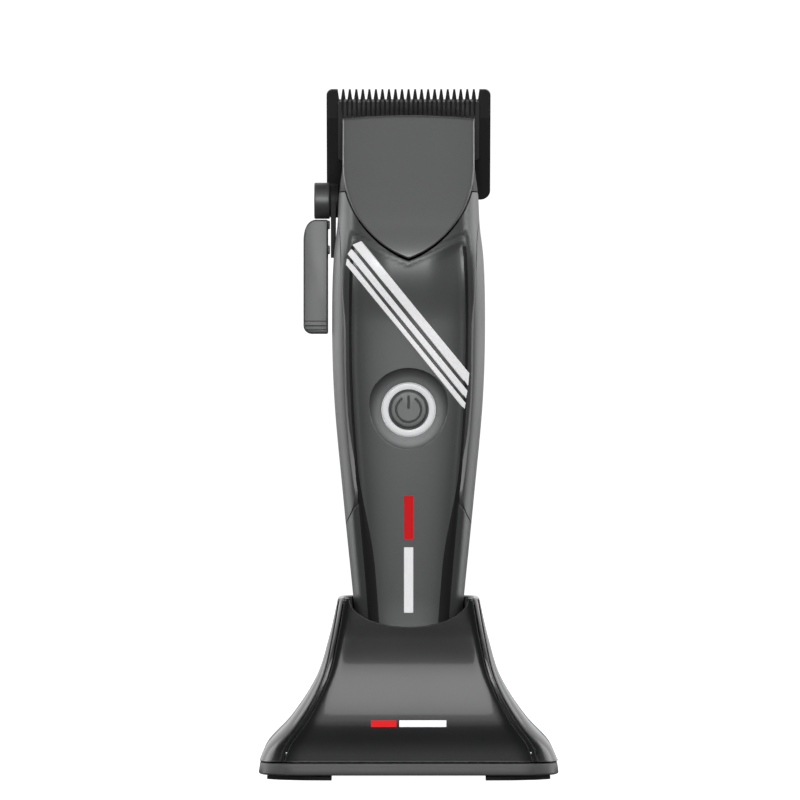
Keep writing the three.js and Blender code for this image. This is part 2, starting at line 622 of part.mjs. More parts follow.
function makeHeadFrame() {
  const low = REAR_TOP + GAP;
  const wide = BLADE_WIDTH;
  let frame = bodySolid(low, SHIELD_TOP - 1, 8, { side: 0, front: SHIELD_THICKNESS - SHIELD_PROUD + GAP });
  frame = frame.subtract(toSolid(block([-wide, -BODY_DEPTH, 0], [wide, GAP / 2, HOUSING_TOP + GAP])));
  frame = frame.subtract(shieldPrism(GAP));
  const rearWall = bodySizeAt(low).back - 3.2;
  const middle = block([-CHEEK_INSIDE, -BODY_DEPTH, 0], [CHEEK_INSIDE, rearWall, 2 * CLIPPER_LENGTH]);
  frame = frame.subtract(toSolid(middle));
  const foot = MOUNT_TOP + 1.8;
  for (const side of [-1, 1]) {
    const range = side < 0 ? [-CHEEK_INSIDE - 2.2, -CHEEK_INSIDE] : [CHEEK_INSIDE, CHEEK_INSIDE + 2.2];
    frame = frame.add(toSolid(block([range[0], -6, foot], [range[1], 6, low + 2])));
  }
  frame = frame.add(toSolid(block([-CHEEK_INSIDE - 2.2, -6, foot], [CHEEK_INSIDE + 2.2, 6, foot + 2.4])));
  frame = frame.subtract(toSolid(bar('z', 5.4, 0, foot + 5, 0, MOTOR_Y)));
  frame = frame.add(toSolid(bar('x', SHAFT_RADIUS + 2.2, -CHEEK_INSIDE - 4, -CHEEK_INSIDE + 2.6, HUB_Y, HUB_Z)));
  frame = frame.subtract(toSolid(bar('x', SHAFT_RADIUS + 0.1, -BODY_WIDTH, 0, HUB_Y, HUB_Z, 32)));
  const seat = [-wide, -BLADE_THICKNESS - GAP, -BLADE_LENGTH - GAP];
  frame = frame.subtract(bladeBlock(seat, [wide, 40, 20]));
  frame = frame.subtract(bladeBlock([-wide, CUTTER_FRONT - 0.6, CUTTER_LOW - 0.8], [wide, 40, 20]));
  for (const side of [-1, 1]) {
    const hole = bar('y', 1.6, -8.6, 9, side * BLADE_SCREW_X, BLADE_SCREW_Z, 16);
    frame = frame.subtract(toSolid(hole.rotateX(BLADE_TILT).translate(0, TIP_OFFSET, CLIPPER_LENGTH)));
  }
  return toGeometry(frame);
}

// ---- the taper lever, on the clipper's -X side ----
const ARM_INSIDE = BODY_WIDTH / 2 - 1;
const ARM_THICKNESS = 1.4;
const HUB_OUTSIDE = ARM_INSIDE + 6.1;
const PADDLE_OUTSIDE = ARM_INSIDE + 9.1;
const PADDLE_INSIDE = ARM_INSIDE + 2.2;
const PADDLE_TOP = HUB_Z - HUB_RADIUS - GAP;
const PADDLE_LOW = PADDLE_TOP - 32;
const armFace = -(ARM_INSIDE + ARM_THICKNESS);

function makeLeverArm() {
  const outline = new THREE.Shape();
  outline.moveTo(HUB_Y - 4.2, HUB_Z);
  outline.absarc(HUB_Y, HUB_Z, 4.8, Math.PI, 0, true);
  outline.lineTo(HUB_Y + 4, HUB_Z - 16);
  outline.lineTo(HUB_Y - 4, HUB_Z - 16);
  const plate = toSolid(plateYZ(outline, armFace, -ARM_INSIDE, 12));
  return toGeometry(plate.subtract(toSolid(bar('x', 1.5, -BODY_WIDTH, 0, HUB_Y, HUB_Z, 16))));
}

function makeLeverHub() {
  const hub = toSolid(bar('x', HUB_RADIUS, -HUB_OUTSIDE, armFace - GAP, HUB_Y, HUB_Z, 40));
  const sink = toSolid(bar('x', 2.7, -HUB_OUTSIDE - 1, -HUB_OUTSIDE + 1.6, HUB_Y, HUB_Z, 20));
  const bore = toSolid(bar('x', 1.5, -BODY_WIDTH, 0, HUB_Y, HUB_Z, 16));
  return toGeometry(hub.subtract(sink).subtract(bore));
}

function makeLeverPaddle() {
  const outline = new THREE.Shape();
  outline.moveTo(-PADDLE_INSIDE, PADDLE_TOP);
  outline.lineTo(-PADDLE_OUTSIDE + 3, PADDLE_TOP);
  outline.quadraticCurveTo(-PADDLE_OUTSIDE, PADDLE_TOP, -PADDLE_OUTSIDE, PADDLE_TOP - 5.6);
  outline.lineTo(-PADDLE_OUTSIDE, PADDLE_LOW + 2.2);
  outline.quadraticCurveTo(-PADDLE_OUTSIDE, PADDLE_LOW, -PADDLE_OUTSIDE + 2.2, PADDLE_LOW);
  outline.lineTo(-PADDLE_INSIDE, PADDLE_LOW);
  let paddle = toSolid(plateXZ(outline, HUB_Y - 4.5, HUB_Y + 4.5, 6));
  for (const top of [PADDLE_TOP, PADDLE_TOP - 7]) {
    const rib = block([-PADDLE_INSIDE - 1, HUB_Y - 2, top - 2.6], [armFace - GAP, HUB_Y + 2, top - 0.2]);
    paddle = paddle.add(toSolid(rib));
  }
  return toGeometry(paddle);
}

function makeLeverShaft() {
  const shaft = toSolid(bar('x', SHAFT_RADIUS, -ARM_INSIDE + GAP, 7, HUB_Y, HUB_Z, 32));
  const angle = BLADE_TILT - LEVER_SWEEP / 2;
  const eccentric = bar('x', ECCENTRIC_RADIUS, -3, 3, HUB_Y + ECCENTRIC_OFFSET * Math.cos(angle),
    HUB_Z + ECCENTRIC_OFFSET * Math.sin(angle), 32);
  return toGeometry(shaft.add(toSolid(eccentric)));
}

function makeLeverScrew() {
  const head = -HUB_OUTSIDE + 1.6 - GAP;
  const screw = toSolid(bar('x', 2.3, head - 1.1, head, HUB_Y, HUB_Z, 16))
    .add(toSolid(bar('x', 1.1, head - 0.5, -ARM_INSIDE, HUB_Y, HUB_Z, 12)));
  return toGeometry(screw);
}

function addLever() {
  add(clipper, 'lever_hub', makeLeverHub(), GUNMETAL);
  add(clipper, 'lever_arm', makeLeverArm(), MATTE_BLACK);
  add(clipper, 'lever_paddle', makeLeverPaddle(), GUNMETAL_LIGHT);
  add(clipper, 'lever_shaft', makeLeverShaft(), STEEL);
  add(clipper, 'lever_screw', makeLeverScrew(), STEEL);
}

function addClipper() {
  add(clipper, 'front_housing', makeFrontHousing(), GUNMETAL);
  add(clipper, 'rear_housing', makeRearHousing(), GUNMETAL);
  add(clipper, 'head_shield', makeShield(), GUNMETAL_LIGHT);
  add(clipper, 'head_frame', makeHeadFrame(), MATTE_BLACK);
  add(clipper, 'side_grip_left', makeGrip(-1), GUNMETAL_LIGHT);
  add(clipper, 'side_grip_right', makeGrip(1), GUNMETAL_LIGHT);
  for (const stripe of STRIPES) add(clipper, stripe.name, makeStripe(stripe), SPARKLE);
  add(clipper, 'tail_cap', makeTailCap(), MATTE_BLACK);
  add(clipper, 'tail_socket', makeTailSocket(), STEEL);
  for (const [name, side] of [['tail_contact_left', -1], ['tail_contact_right', 1]]) {
    add(clipper, name, bar('z', 1.9, 0.6, 1.6, side * PIN_SPREAD, PIN_BACK), GOLD);
  }
  add(clipper, 'housing_screw_lower', makeHousingScrew(SCREW_HEIGHTS[0]), STEEL);
  add(clipper, 'housing_screw_upper', makeHousingScrew(SCREW_HEIGHTS[1]), STEEL);
  addControls();
  add(clipper, 'battery', makeBattery(), CELL);
  add(clipper, 'battery_holder', makeBatteryHolder(), MATTE_BLACK);
  addMotor();
  addBladeSet();
  addLever();
  clipper.position.z = SEAT_HEIGHT;
}

// ---- the stand's outer form ----
// How far the flare has gone, from 0 at the rim to 1 at the skirt.
const flareCurve = new THREE.CubicInterpolant(
  new Float32Array([0, 0.25, 0.5, 0.75, 0.9, 1]),
  new Float32Array([0, 0.12, 0.285, 0.615, 0.9, 1]),
  1,
);
const tailAtRim = bodySizeAt(STAND_HEIGHT - SEAT_HEIGHT);
const RIM_GROWTH = CRADLE_CLEARANCE + CRADLE_WALL + GAP + STAND_WALL;

function standSizeAt(z) {
  const share = THREE.MathUtils.clamp((STAND_HEIGHT - z) / (STAND_HEIGHT - SKIRT_HIGH), 0, 1);
  const flare = flareCurve.evaluate(share)[0];
  const between = (rim, base) => rim + (base - rim) * flare;
  return {
    half: between(tailAtRim.half + RIM_GROWTH, STAND_WIDTH / 2),
    front: -between(RIM_GROWTH - tailAtRim.front, STAND_DEPTH / 2),
    back: between(RIM_GROWTH + tailAtRim.back, STAND_DEPTH / 2),
  };
}

// A square with generously rounded corners, in the unit square.
function standOutline() {
  const outline = new THREE.Shape();
  const flat = 0.5;
  outline.moveTo(flat, -1);
  outline.bezierCurveTo(0.82, -1, 1, -0.82, 1, -flat);
  outline.lineTo(1, flat);
  outline.bezierCurveTo(1, 0.82, 0.82, 1, flat, 1);
  outline.lineTo(-flat, 1);
  outline.bezierCurveTo(-0.82, 1, -1, 0.82, -1, flat);
  outline.lineTo(-1, -flat);
  outline.bezierCurveTo(-1, -0.82, -0.82, -1, -flat, -1);
  return outline;
}

function standSolid(low, high, count, inset) {
  const sizeAt = (z) => {
    const size = standSizeAt(z);
    return { half: size.half - inset, front: size.front + inset, back: size.back - inset };
  };
  return toSolid(form(standOutline(), levelsBetween(low, high, count), sizeAt, 4));
}

function standWall() {
  const low = SKIRT_HIGH + GAP;
  return standSolid(low, STAND_HEIGHT, 9, 0).subtract(standSolid(low - 1, STAND_HEIGHT + 1, 9, STAND_WALL));
}

// The front panel's field: nine tenths of the stand's width at the rim, four fifths at the skirt.
function panelPrism(grow) {
  const levels = levelsBetween(SKIRT_HIGH - 1, STAND_HEIGHT + 2, 9);
  const edge = levels.map((z) => {
    const share = 0.82 + 0.08 * z / STAND_HEIGHT;
    return [standSizeAt(z).half * share + grow, z];
  });
  const mirrored = edge.map(([x, z]) => [-x, z]).reverse();
  return toSolid(plateXZ(polygon([...edge, ...mirrored]), -STAND_DEPTH, -6 + grow));
}

// The rim dips in front, so that the clipper's tail shows.
function rimDip(grow) {
  const outline = new THREE.Shape();
  outline.absellipse(0, STAND_HEIGHT, tailAtRim.half + 1 + grow, 8 + grow, 0, 2 * Math.PI, false);
  return toSolid(plateXZ(outline, -STAND_DEPTH, -2, 12));
}

const STAND_SOCKET_Z = 8.8;

function makeStandShell() {
  const window = toSolid(block([-5.1, 0, STAND_SOCKET_Z - 2.25], [5.1, STAND_DEPTH, STAND_SOCKET_Z + 2.25]));
  return toGeometry(standWall().subtract(panelPrism(GAP)).subtract(window));
}

function makeStandPanel() {
  return toGeometry(standWall().intersect(panelPrism(0)).subtract(rimDip(0)));
}

// ---- the cradle: a tapered cup round the clipper's tail, with two pin holes in its floor ----
function makeCradle() {
  const clipperSolid = (low, high, count, inset) => bodySolid(low - SEAT_HEIGHT, high - SEAT_HEIGHT, count,
    { side: inset }).translate([0, 0, SEAT_HEIGHT]);
  const low = SEAT_HEIGHT - GAP;
  const walls = clipperSolid(low, STAND_HEIGHT, 3, -CRADLE_CLEARANCE - CRADLE_WALL)
    .subtract(clipperSolid(low - 1, STAND_HEIGHT + 1, 3, -CRADLE_CLEARANCE));
  const floor = bodySolid(-1.7, 0.2, 1, { side: -CRADLE_CLEARANCE - CRADLE_WALL + 0.1 })
    .translate([0, 0, SEAT_HEIGHT - GAP - 0.2]);
  let cradle = walls.add(floor).subtract(rimDip(GAP));
  for (const side of [-1, 1]) {
    cradle = cradle.subtract(toSolid(bar('z', PIN_RADIUS + RUNNING, 0, STAND_HEIGHT, side * PIN_SPREAD, PIN_BACK)));
  }
  return toGeometry(cradle);
}

// ---- the charging pins and their block ----
const PIN_LOW = SEAT_HEIGHT - 6.8;
const PIN_HIGH = SEAT_HEIGHT + 0.3;
const BLOCK_HIGH = SEAT_HEIGHT - GAP - 1.9 - GAP;

function makePin(side) {
  const dome = 0.5;
  const points = [[0, PIN_LOW], [PIN_RADIUS, PIN_LOW], [PIN_RADIUS, PIN_HIGH - dome], [0.7, PIN_HIGH], [0, PIN_HIGH]];
  const profile = points.map(([radius, z]) => new THREE.Vector2(radius, z));
  return new THREE.LatheGeometry(profile, 14).rotateX(Math.PI / 2)
    .translate(side * PIN_SPREAD, PIN_BACK, 0);
}

function makePinBlock() {
  const low = PIN_LOW - PIN_TRAVEL - 2;
  let holder = toSolid(block([-PIN_SPREAD - 4, PIN_BACK - 4, low], [PIN_SPREAD + 4, PIN_BACK + 4, BLOCK_HIGH]));
  for (const side of [-1, 1]) {
    const bore = bar('z', PIN_RADIUS + RUNNING, PIN_LOW - PIN_TRAVEL - GAP, STAND_HEIGHT, side * PIN_SPREAD, PIN_BACK);
    holder = holder.subtract(toSolid(bore));
  }
  return toGeometry(holder);
}

// ---- the skirt, the bottom cover, the feet and the screws ----
const BOSS_X = 26;
const BOSS_Y = 19;

function basePlate(low, high, inset) {
  const half = STAND_WIDTH / 2 - inset;
  const depth = STAND_DEPTH / 2 - inset;
  return toSolid(form(standOutline(), [low, high], () => ({ half, front: -depth, back: depth }), 4));
}

function makeSkirt() {
  let skirt = basePlate(SKIRT_LOW, SKIRT_HIGH, 0).subtract(basePlate(SKIRT_LOW - 1, SKIRT_HIGH + 1, 3.5));
  const ledgeLow = SKIRT_LOW + 2 + GAP;
  for (const x of [-1, 1]) {
    for (const y of [-1, 1]) {
      const corner = block([Math.min(x * 19, x * 60), Math.min(y * 14, y * 60), ledgeLow],
        [Math.max(x * 19, x * 60), Math.max(y * 14, y * 60), SKIRT_HIGH]);
      skirt = skirt.add(toSolid(corner).intersect(basePlate(SKIRT_LOW, SKIRT_HIGH, 1)));
      skirt = skirt.add(toSolid(bar('z', 3.2, ledgeLow, SKIRT_HIGH + 5, x * BOSS_X, y * BOSS_Y, 18)));
      skirt = skirt.subtract(toSolid(bar('z', 1.6, 0, SKIRT_HIGH + 4, x * BOSS_X, y * BOSS_Y, 14)));
    }
  }
  return toGeometry(skirt);
}

function makeBottomCover() {
  let cover = basePlate(SKIRT_LOW, SKIRT_LOW + 2, 3.5 + GAP);
  for (const x of [-1, 1]) {
    for (const y of [-1, 1]) {
      cover = cover.subtract(toSolid(bar('z', 2.8, 0, SKIRT_LOW + 1.2, x * BOSS_X, y * BOSS_Y, 18)));
      cover = cover.subtract(toSolid(bar('z', 1.6, 0, SKIRT_HIGH, x * BOSS_X, y * BOSS_Y, 14)));
    }
  }
  return toGeometry(cover);
}

// A corner pad that follows the skirt's outline.
function makeFoot(x, y) {
  const pad = block([Math.min(x * 21.3, x * 60), Math.min(y * 25, y * 60), 0],
    [Math.max(x * 21.3, x * 60), Math.max(y * 25, y * 60), FOOT_HEIGHT]);
  return toGeometry(toSolid(pad).intersect(basePlate(0, FOOT_HEIGHT, 1)));
}

function makeBaseScrew(x, y) {
  const head = SKIRT_LOW + 1.2 - GAP;
  const points = [[0, head - 0.8], [2.4, head - 0.8], [2.4, head], [1.2, head + 0.3], [1.2, SKIRT_HIGH + 3], [0, SKIRT_HIGH + 3]];
  const profile = points.map(([radius, z]) => new THREE.Vector2(radius, z));
  return new THREE.LatheGeometry(profile, 12).rotateX(Math.PI / 2).translate(x * BOSS_X, y * BOSS_Y, 0);
}

function makeStandSocket() {
  const back = standSizeAt(STAND_SOCKET_Z).back - 1.2;
  const low = STAND_SOCKET_Z - 1.95;
  const shell = toSolid(block([-4.8, back - 8, low], [4.8, back, low + 3.9]));
  const mouth = toSolid(block([-4.2, back - 6.5, low + 0.6], [4.2, back + 1, low + 3.3]));
  const tongue = toSolid(block([-3.2, back - 7, STAND_SOCKET_Z - 0.35], [3.2, back - 1.2, STAND_SOCKET_Z + 0.35]));
  return toGeometry(shell.subtract(mouth).add(tongue));
}

function addStand() {
  add(stand, 'stand_shell', makeStandShell(), GLOSS_BLACK);
  add(stand, 'stand_front_panel', makeStandPanel(), GLOSS_BLACK);
  add(stand, 'stand_cradle', makeCradle(), MATTE_BLACK);
  add(stand, 'stand_skirt', makeSkirt(), GLOSS_BLACK);
  add(stand, 'stand_bottom_cover', makeBottomCover(), MATTE_BLACK);
  const corners = [['front_left', -1, -1], ['front_right', 1, -1], ['rear_left', -1, 1], ['rear_right', 1, 1]];
  for (const [place, x, y] of corners) {
    add(stand, `stand_foot_${place}`, makeFoot(x, y), RUBBER);
    add(stand, `stand_screw_${place}`, makeBaseScrew(x, y), STEEL);
  }
  const boardLow = SKIRT_HIGH + 0.5;
  const boardBack = standSizeAt(STAND_SOCKET_Z).back - 6;
  add(stand, 'stand_board', block([-12, 4, boardLow], [12, boardBack, boardLow + 1.2]), BOARD);
  add(stand, 'stand_socket', makeStandSocket(), STEEL);
  add(stand, 'stand_pin_block', makePinBlock(), MATTE_BLACK);
  add(stand, 'charge_pin_left', makePin(-1), GOLD);
  add(stand, 'charge_pin_right', makePin(1), GOLD);
}

addClipper();
addStand();

const root = new THREE.Group();
root.add(stand, clipper);

export default root;
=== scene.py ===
import json
import math

import bmesh
import bpy
import numpy as np
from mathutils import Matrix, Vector

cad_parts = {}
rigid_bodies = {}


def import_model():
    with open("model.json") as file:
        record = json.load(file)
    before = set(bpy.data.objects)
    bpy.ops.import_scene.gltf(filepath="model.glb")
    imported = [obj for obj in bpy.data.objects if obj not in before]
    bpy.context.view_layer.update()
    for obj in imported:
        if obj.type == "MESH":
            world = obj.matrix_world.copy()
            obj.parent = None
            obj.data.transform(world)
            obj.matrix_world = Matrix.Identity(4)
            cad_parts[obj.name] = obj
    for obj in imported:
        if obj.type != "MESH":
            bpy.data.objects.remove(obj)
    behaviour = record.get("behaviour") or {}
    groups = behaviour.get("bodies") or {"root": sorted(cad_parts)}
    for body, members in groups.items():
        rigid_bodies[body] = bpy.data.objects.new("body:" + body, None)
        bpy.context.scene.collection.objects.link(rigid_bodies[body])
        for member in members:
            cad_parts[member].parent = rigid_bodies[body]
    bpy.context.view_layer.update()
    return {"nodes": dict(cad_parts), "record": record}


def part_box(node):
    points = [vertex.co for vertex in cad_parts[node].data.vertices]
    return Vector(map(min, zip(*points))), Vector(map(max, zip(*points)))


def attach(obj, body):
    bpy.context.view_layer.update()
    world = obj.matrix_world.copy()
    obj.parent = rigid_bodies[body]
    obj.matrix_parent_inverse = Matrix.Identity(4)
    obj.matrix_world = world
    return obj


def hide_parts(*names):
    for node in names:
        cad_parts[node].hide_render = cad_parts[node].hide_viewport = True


# A cordless hair clipper in its charging stand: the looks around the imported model.
# Shapes are worked out in millimetres and become metres when an object is made.
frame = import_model()
NODES = frame["nodes"]
MM = 0.001
GAP = 0.3


def low(node):
    return np.array(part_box(node)[0]) / MM


def high(node):
    return np.array(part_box(node)[1]) / MM


# ---- driving sizes, read from the model where it holds them ----
SEAT = low("tail_cap")[2]                        # where the clipper's own heights start
LENGTH = high("fixed_blade")[2] - SEAT
HEAD_LENGTH = 47.2
HANDLE = LENGTH - HEAD_LENGTH
BODY_WIDTH = 42.8
BODY_DEPTH = 36.8
WALL = 3.4
RIM_Z = high("stand_shell")[2]
SKIRT_TOP = 4.8
STAND_WIDTH = high("stand_skirt")[0] - low("stand_skirt")[0]
STAND_DEPTH = high("stand_skirt")[1] - low("stand_skirt")[1]
STAND_WALL = 1.8


def from_tips(distance):
    """A height on the clipper, stated as a distance below the tips of its teeth."""
    return LENGTH - distance


# ---- curves ----
def hermite(stations):
    """A smooth curve through stations [(z, values...)], as a function of one z or of many."""
    table = np.array(stations, float)
    z, values = table[:, 0], table[:, 1:]
    secants = np.diff(values, axis=0) / np.diff(z)[:, None]
    slopes = np.vstack([secants[:1], (secants[1:] + secants[:-1]) / 2, secants[-1:]])

    def at(height):
        height = np.asarray(height, float)
        i = np.clip(np.searchsorted(z, height) - 1, 0, len(z) - 2)
        span = (z[i + 1] - z[i])[..., None]
        t = np.clip((height - z[i])[..., None] / span, 0, 1)
        middle = ((2 * t**3 - 3 * t**2 + 1) * values[i] + (t**3 - 2 * t**2 + t) * span * slopes[i]
                  + (-2 * t**3 + 3 * t**2) * values[i + 1] + (t**3 - t**2) * span * slopes[i + 1])
        beyond = (height - np.clip(height, z[0], z[-1]))[..., None]
        return middle + beyond * np.where(beyond < 0, slopes[0], slopes[-1])

    return at


def bezier(a, b, c, d, count):
    t = np.linspace(0, 1, count, endpoint=False)[:, None]
    a, b, c, d = (np.array(p, float) for p in (a, b, c, d))
    return (1 - t)**3 * a + 3 * (1 - t)**2 * t * b + 3 * (1 - t) * t**2 * c + t**3 * d


def ease(t):
    t = np.clip(t, 0, 1)
    return t * t * (3 - 2 * t)


class Form:
    """A tall form: a closed outline in the unit square, stretched at each height to a half width,
    a front and a back. relief gives how far the surface lies inside that, from x, y and z."""

    def __init__(self, outline, size_at, relief=None):
        self.outline = outline
        self.size_at = size_at
        self.relief = relief
        angles = np.unwrap(np.arctan2(outline[:, 1], outline[:, 0]))
        self.angles = np.append(angles, angles[0] + 2 * np.pi)
        self.closed = np.vstack([outline, outline[:1]])

    def place(self, unit, z, inset):
        half, front, back = self.size_at(z)
        plain = np.stack([unit[..., 0] * half, front + (back - front) * (unit[..., 1] + 1) / 2, z], axis=-1)
        if self.relief is not None:
            inset = inset + self.relief(plain[..., 0], plain[..., 1], plain[..., 2])
        half, front, back = half - inset, front + inset, back - inset
        return np.stack([unit[..., 0] * half, front + (back - front) * (unit[..., 1] + 1) / 2, z], axis=-1)

    def ring(self, z, inset):
        return self.place(self.outline, np.full(len(self.outline), float(z)), inset)

    def at_angle(self, angle):
        """The unit outline's point in a direction, measured from +X; -90 degrees is the front."""
        turned = self.angles[0] + np.mod(np.asarray(angle) - self.angles[0], 2 * np.pi)
        return np.stack([np.interp(turned, self.angles, self.closed[:, k]) for k in (0, 1)], axis=-1)

    def point(self, angle, z, inset=0.0):
        angle, z = np.broadcast_arrays(np.asarray(angle, float), np.asarray(z, float))
        return self.place(self.at_angle(angle), z, inset)

    def normal(self, angle, z):
        along = self.point(angle + 0.012, z) - self.point(angle - 0.012, z)
        up = self.point(angle, z + 0.2) - self.point(angle, z - 0.2)
        n = np.cross(along, up)
        return n / np.linalg.norm(n, axis=-1, keepdims=True)

    def angle_of(self, points):
        half, front, back = self.size_at(points[..., 2])
        return np.arctan2((points[..., 1] - (front + back) / 2) / ((back - front) / 2), points[..., 0] / half)

    def front_angle(self, x, z):
        """The direction in which the front face reaches a sideways place x."""
        share = np.clip(x / self.size_at(z)[0], -0.999, 0.999)
        grid = np.linspace(-math.pi, 0, 721)
        return np.interp(share, self.at_angle(grid)[:, 0], grid)


# The clipper's body. Height, then shares of half the width, of half the depth in front and behind.
BODY_STATIONS = [
    (0, 0.589, 0.62, 0.641),
    (0.034 * HANDLE, 0.617, 0.685, 0.696),
    (0.228 * HANDLE, 0.724, 0.777, 0.783),
    (0.455 * HANDLE, 0.855, 0.87, 0.826),
    (0.683 * HANDLE, 0.973, 0.946, 0.88),
    (0.85 * HANDLE, 1, 1, 0.935),
    (HANDLE, 0.977, 1.076, 0.989),
    (from_tips(38.2), 0.93, 0.902, 1),
    (from_tips(30.2), 0.911, 0.717, 0.957),
    (from_tips(20.2), 0.857, 0.478, 0.761),
    (from_tips(8.2), 0.855, 0.196, 0.489),
]
body_curve = hermite(BODY_STATIONS)


def body_size(z):
    shares = body_curve(z)
    half_depth = BODY_DEPTH / 2
    return shares[..., 0] * BODY_WIDTH / 2, -shares[..., 1] * half_depth, shares[..., 2] * half_depth


def mirrored_outline(right):
    """A closed outline from its right half, which runs from (0, -1) to (0, 1)."""
    left = right[1:][::-1] * [-1, 1]
    return np.vstack([right, [[0, 1]], left])


def crowded(right, at, width, count):
    """The same half outline with more points where its front passes a sideways place."""
    line = np.vstack([right, [[0, 1]]])
    length = np.concatenate([[0], np.cumsum(np.linalg.norm(np.diff(line, axis=0), axis=1))])
    fine = np.linspace(0, length[-1], 2400)
    points = np.stack([np.interp(fine, length, line[:, k]) for k in (0, 1)], axis=-1)
    weight = 1 + 5 * np.exp(-((points[:, 0] - at) / width)**2) * (points[:, 1] < -0.3)
    total = np.concatenate([[0], np.cumsum(weight)[:-1]])
    places = np.linspace(0, total[-1], count, endpoint=False)
    return np.stack([np.interp(places, total, points[:, k]) for k in (0, 1)], axis=-1)


# The front face is a panel a little below its surround, with a valley along its edge.
PANEL_SHARE = 0.79                # of the body's half width
PANEL_TOP = from_tips(41.2)       # at its upper corners; it falls to the shield's tip
PANEL_SLOPE = 0.42
PANEL_RECESS = 0.3
VALLEY_DEPTH = 0.4
DIP_DEPTH = 0.9                   # of the hollows at the panel's two upper corners


def panel_relief(x, y, z):
    """How far the front face lies inside the plain body: the panel, its valley and its corner dips."""
    half, front, back = body_size(z)
    beside = PANEL_SHARE * half - np.abs(x)
    below = PANEL_TOP - PANEL_SLOPE * beside - z
    rounding = 1.6
    corner = np.maximum(0, rounding - np.abs(beside - below)) / rounding
    inside = np.minimum(beside, below) - rounding / 4 * corner**2
    width = 0.8 + 0.5 * ease((60 - z) / 30)
    valley = VALLEY_DEPTH * np.exp(-(inside / width)**2)
    near_side = ease((np.abs(x) - 5) / 9)
    dip = DIP_DEPTH * ease(below / 4.5) * np.exp(-(np.maximum(below, 0) / 15)**2) * near_side
    recess = PANEL_RECESS * ease(inside / 2.5) + dip * ease(inside / 1.5)
    in_front = ease((front * 0.35 - y) / 3)
    fade = ease((z - 6) / 14)
    return (valley + recess) * in_front * fade


body_outline = mirrored_outline(crowded(np.vstack([
    bezier((0, -1), (0.45, -1), (0.7, -0.95), (0.8, -0.86), 60),
    bezier((0.8, -0.86), (0.92, -0.76), (1, -0.5), (1, -0.2), 60),
    bezier((1, -0.2), (1, 0.45), (0.8, 1), (0, 1), 80),
]), PANEL_SHARE, 0.07, 105))
body_form = Form(body_outline, body_size)
face_form = Form(body_outline, body_size, panel_relief)

# The stand: how far the flare has gone, from 0 at the rim to 1 at the skirt.
flare_curve = hermite([(0, 0), (0.25, 0.12), (0.5, 0.285), (0.75, 0.615), (0.9, 0.9), (1, 1)])
front_flare_curve = hermite([(0, 0), (0.25, 0.11), (0.5, 0.28), (0.75, 0.575), (0.9, 0.835), (1, 1)])
RIM_GROWTH = 0.5 + 1.6 + GAP + STAND_WALL
tail_at_rim = body_size(np.array(RIM_Z - SEAT))


def stand_size(z):
    share = np.clip((RIM_Z - z) / (RIM_Z - SKIRT_TOP), 0, 1)
    flare, front_flare = flare_curve(share)[..., 0], front_flare_curve(share)[..., 0]
    rim = (tail_at_rim[0] + RIM_GROWTH, tail_at_rim[1] - RIM_GROWTH, tail_at_rim[2] + RIM_GROWTH)
    base = (STAND_WIDTH / 2, -STAND_DEPTH / 2, STAND_DEPTH / 2)
    return tuple(r + (b - r) * f for r, b, f in zip(rim, base, (flare, front_flare, flare)))


def straight(a, b, count):
    """Points of a line from a up to, but without, b."""
    t = np.linspace(0, 1, count, endpoint=False)[:, None]
    return np.array(a, float) + (np.array(b, float) - np.array(a, float)) * t


def square_plan(flat, reach, turn, side, count):
    """A square with round corners, in the unit square. The front is straight out to flat, and its corner
    is drawn by the handles reach and turn and ends at side."""
    return mirrored_outline(np.vstack([
        straight((0, -1), (flat, -1), count),
        bezier((flat, -1), (reach, -1), (1, turn), (1, side), 24),
        straight((1, side), (1, 0.5), 16),
        bezier((1, 0.5), (1, 0.82), (0.82, 1), (0.5, 1), 24),
        straight((0.5, 1), (0, 1), 8),
    ]))


FOOT_PLAN = square_plan(0.5, 0.82, -0.82, -0.5, 8)           # the bottom cover's outline
stand_form = Form(square_plan(0.74, 0.92, -0.87, -0.58, 12), stand_size)


# ---- meshes ----
def make_object(name, points, faces, lift=0.0):
    mesh = bpy.data.meshes.new(name)
    points = np.asarray(points, float) + [0, 0, lift]
    mesh.from_pydata((points * MM).tolist(), [], [list(map(int, f)) for f in faces])
    mesh.update()
    thing = bpy.data.objects.new(name, mesh)
    bpy.context.scene.collection.objects.link(thing)
    return thing


def loft(name, rings, lift=0.0):
    """A closed solid through rings of equal length, with flat ends."""
    count = len(rings[0])
    points = np.vstack(rings)
    faces = []
    for r in range(len(rings) - 1):
        for i in range(count):
            j = (i + 1) % count
            faces.append((r * count + i, r * count + j, (r + 1) * count + j, (r + 1) * count + i))
    faces.append(tuple(range(count))[::-1])
    faces.append(tuple((len(rings) - 1) * count + i for i in range(count)))
    thing = make_object(name, points, faces, lift)
    outward(thing)
    return thing


def outward(thing):
    build = bmesh.new()
    build.from_mesh(thing.data)
    bmesh.ops.recalc_face_normals(build, faces=build.faces)
    build.to_mesh(thing.data)
    build.free()


def form_solid(form, z_low, z_high, inset, step=1.5, lift=0.0):
    count = max(1, round((z_high - z_low) / step))
    return loft("form", [form.ring(z, inset) for z in np.linspace(z_low, z_high, count + 1)], lift)


def box_solid(corner_low, corner_high):
    (x0, y0, z0), (x1, y1, z1) = corner_low, corner_high
    lower = [(x0, y0, z0), (x1, y0, z0), (x1, y1, z0), (x0, y1, z0)]
    upper = [(x, y, z1) for x, y, z in lower]
    return loft("block", [np.array(lower, float), np.array(upper, float)])


def apply_modifiers(thing):
    graph = bpy.context.evaluated_depsgraph_get()
    mesh = bpy.data.meshes.new_from_object(thing.evaluated_get(graph))
    thing.modifiers.clear()
    thing.data = mesh


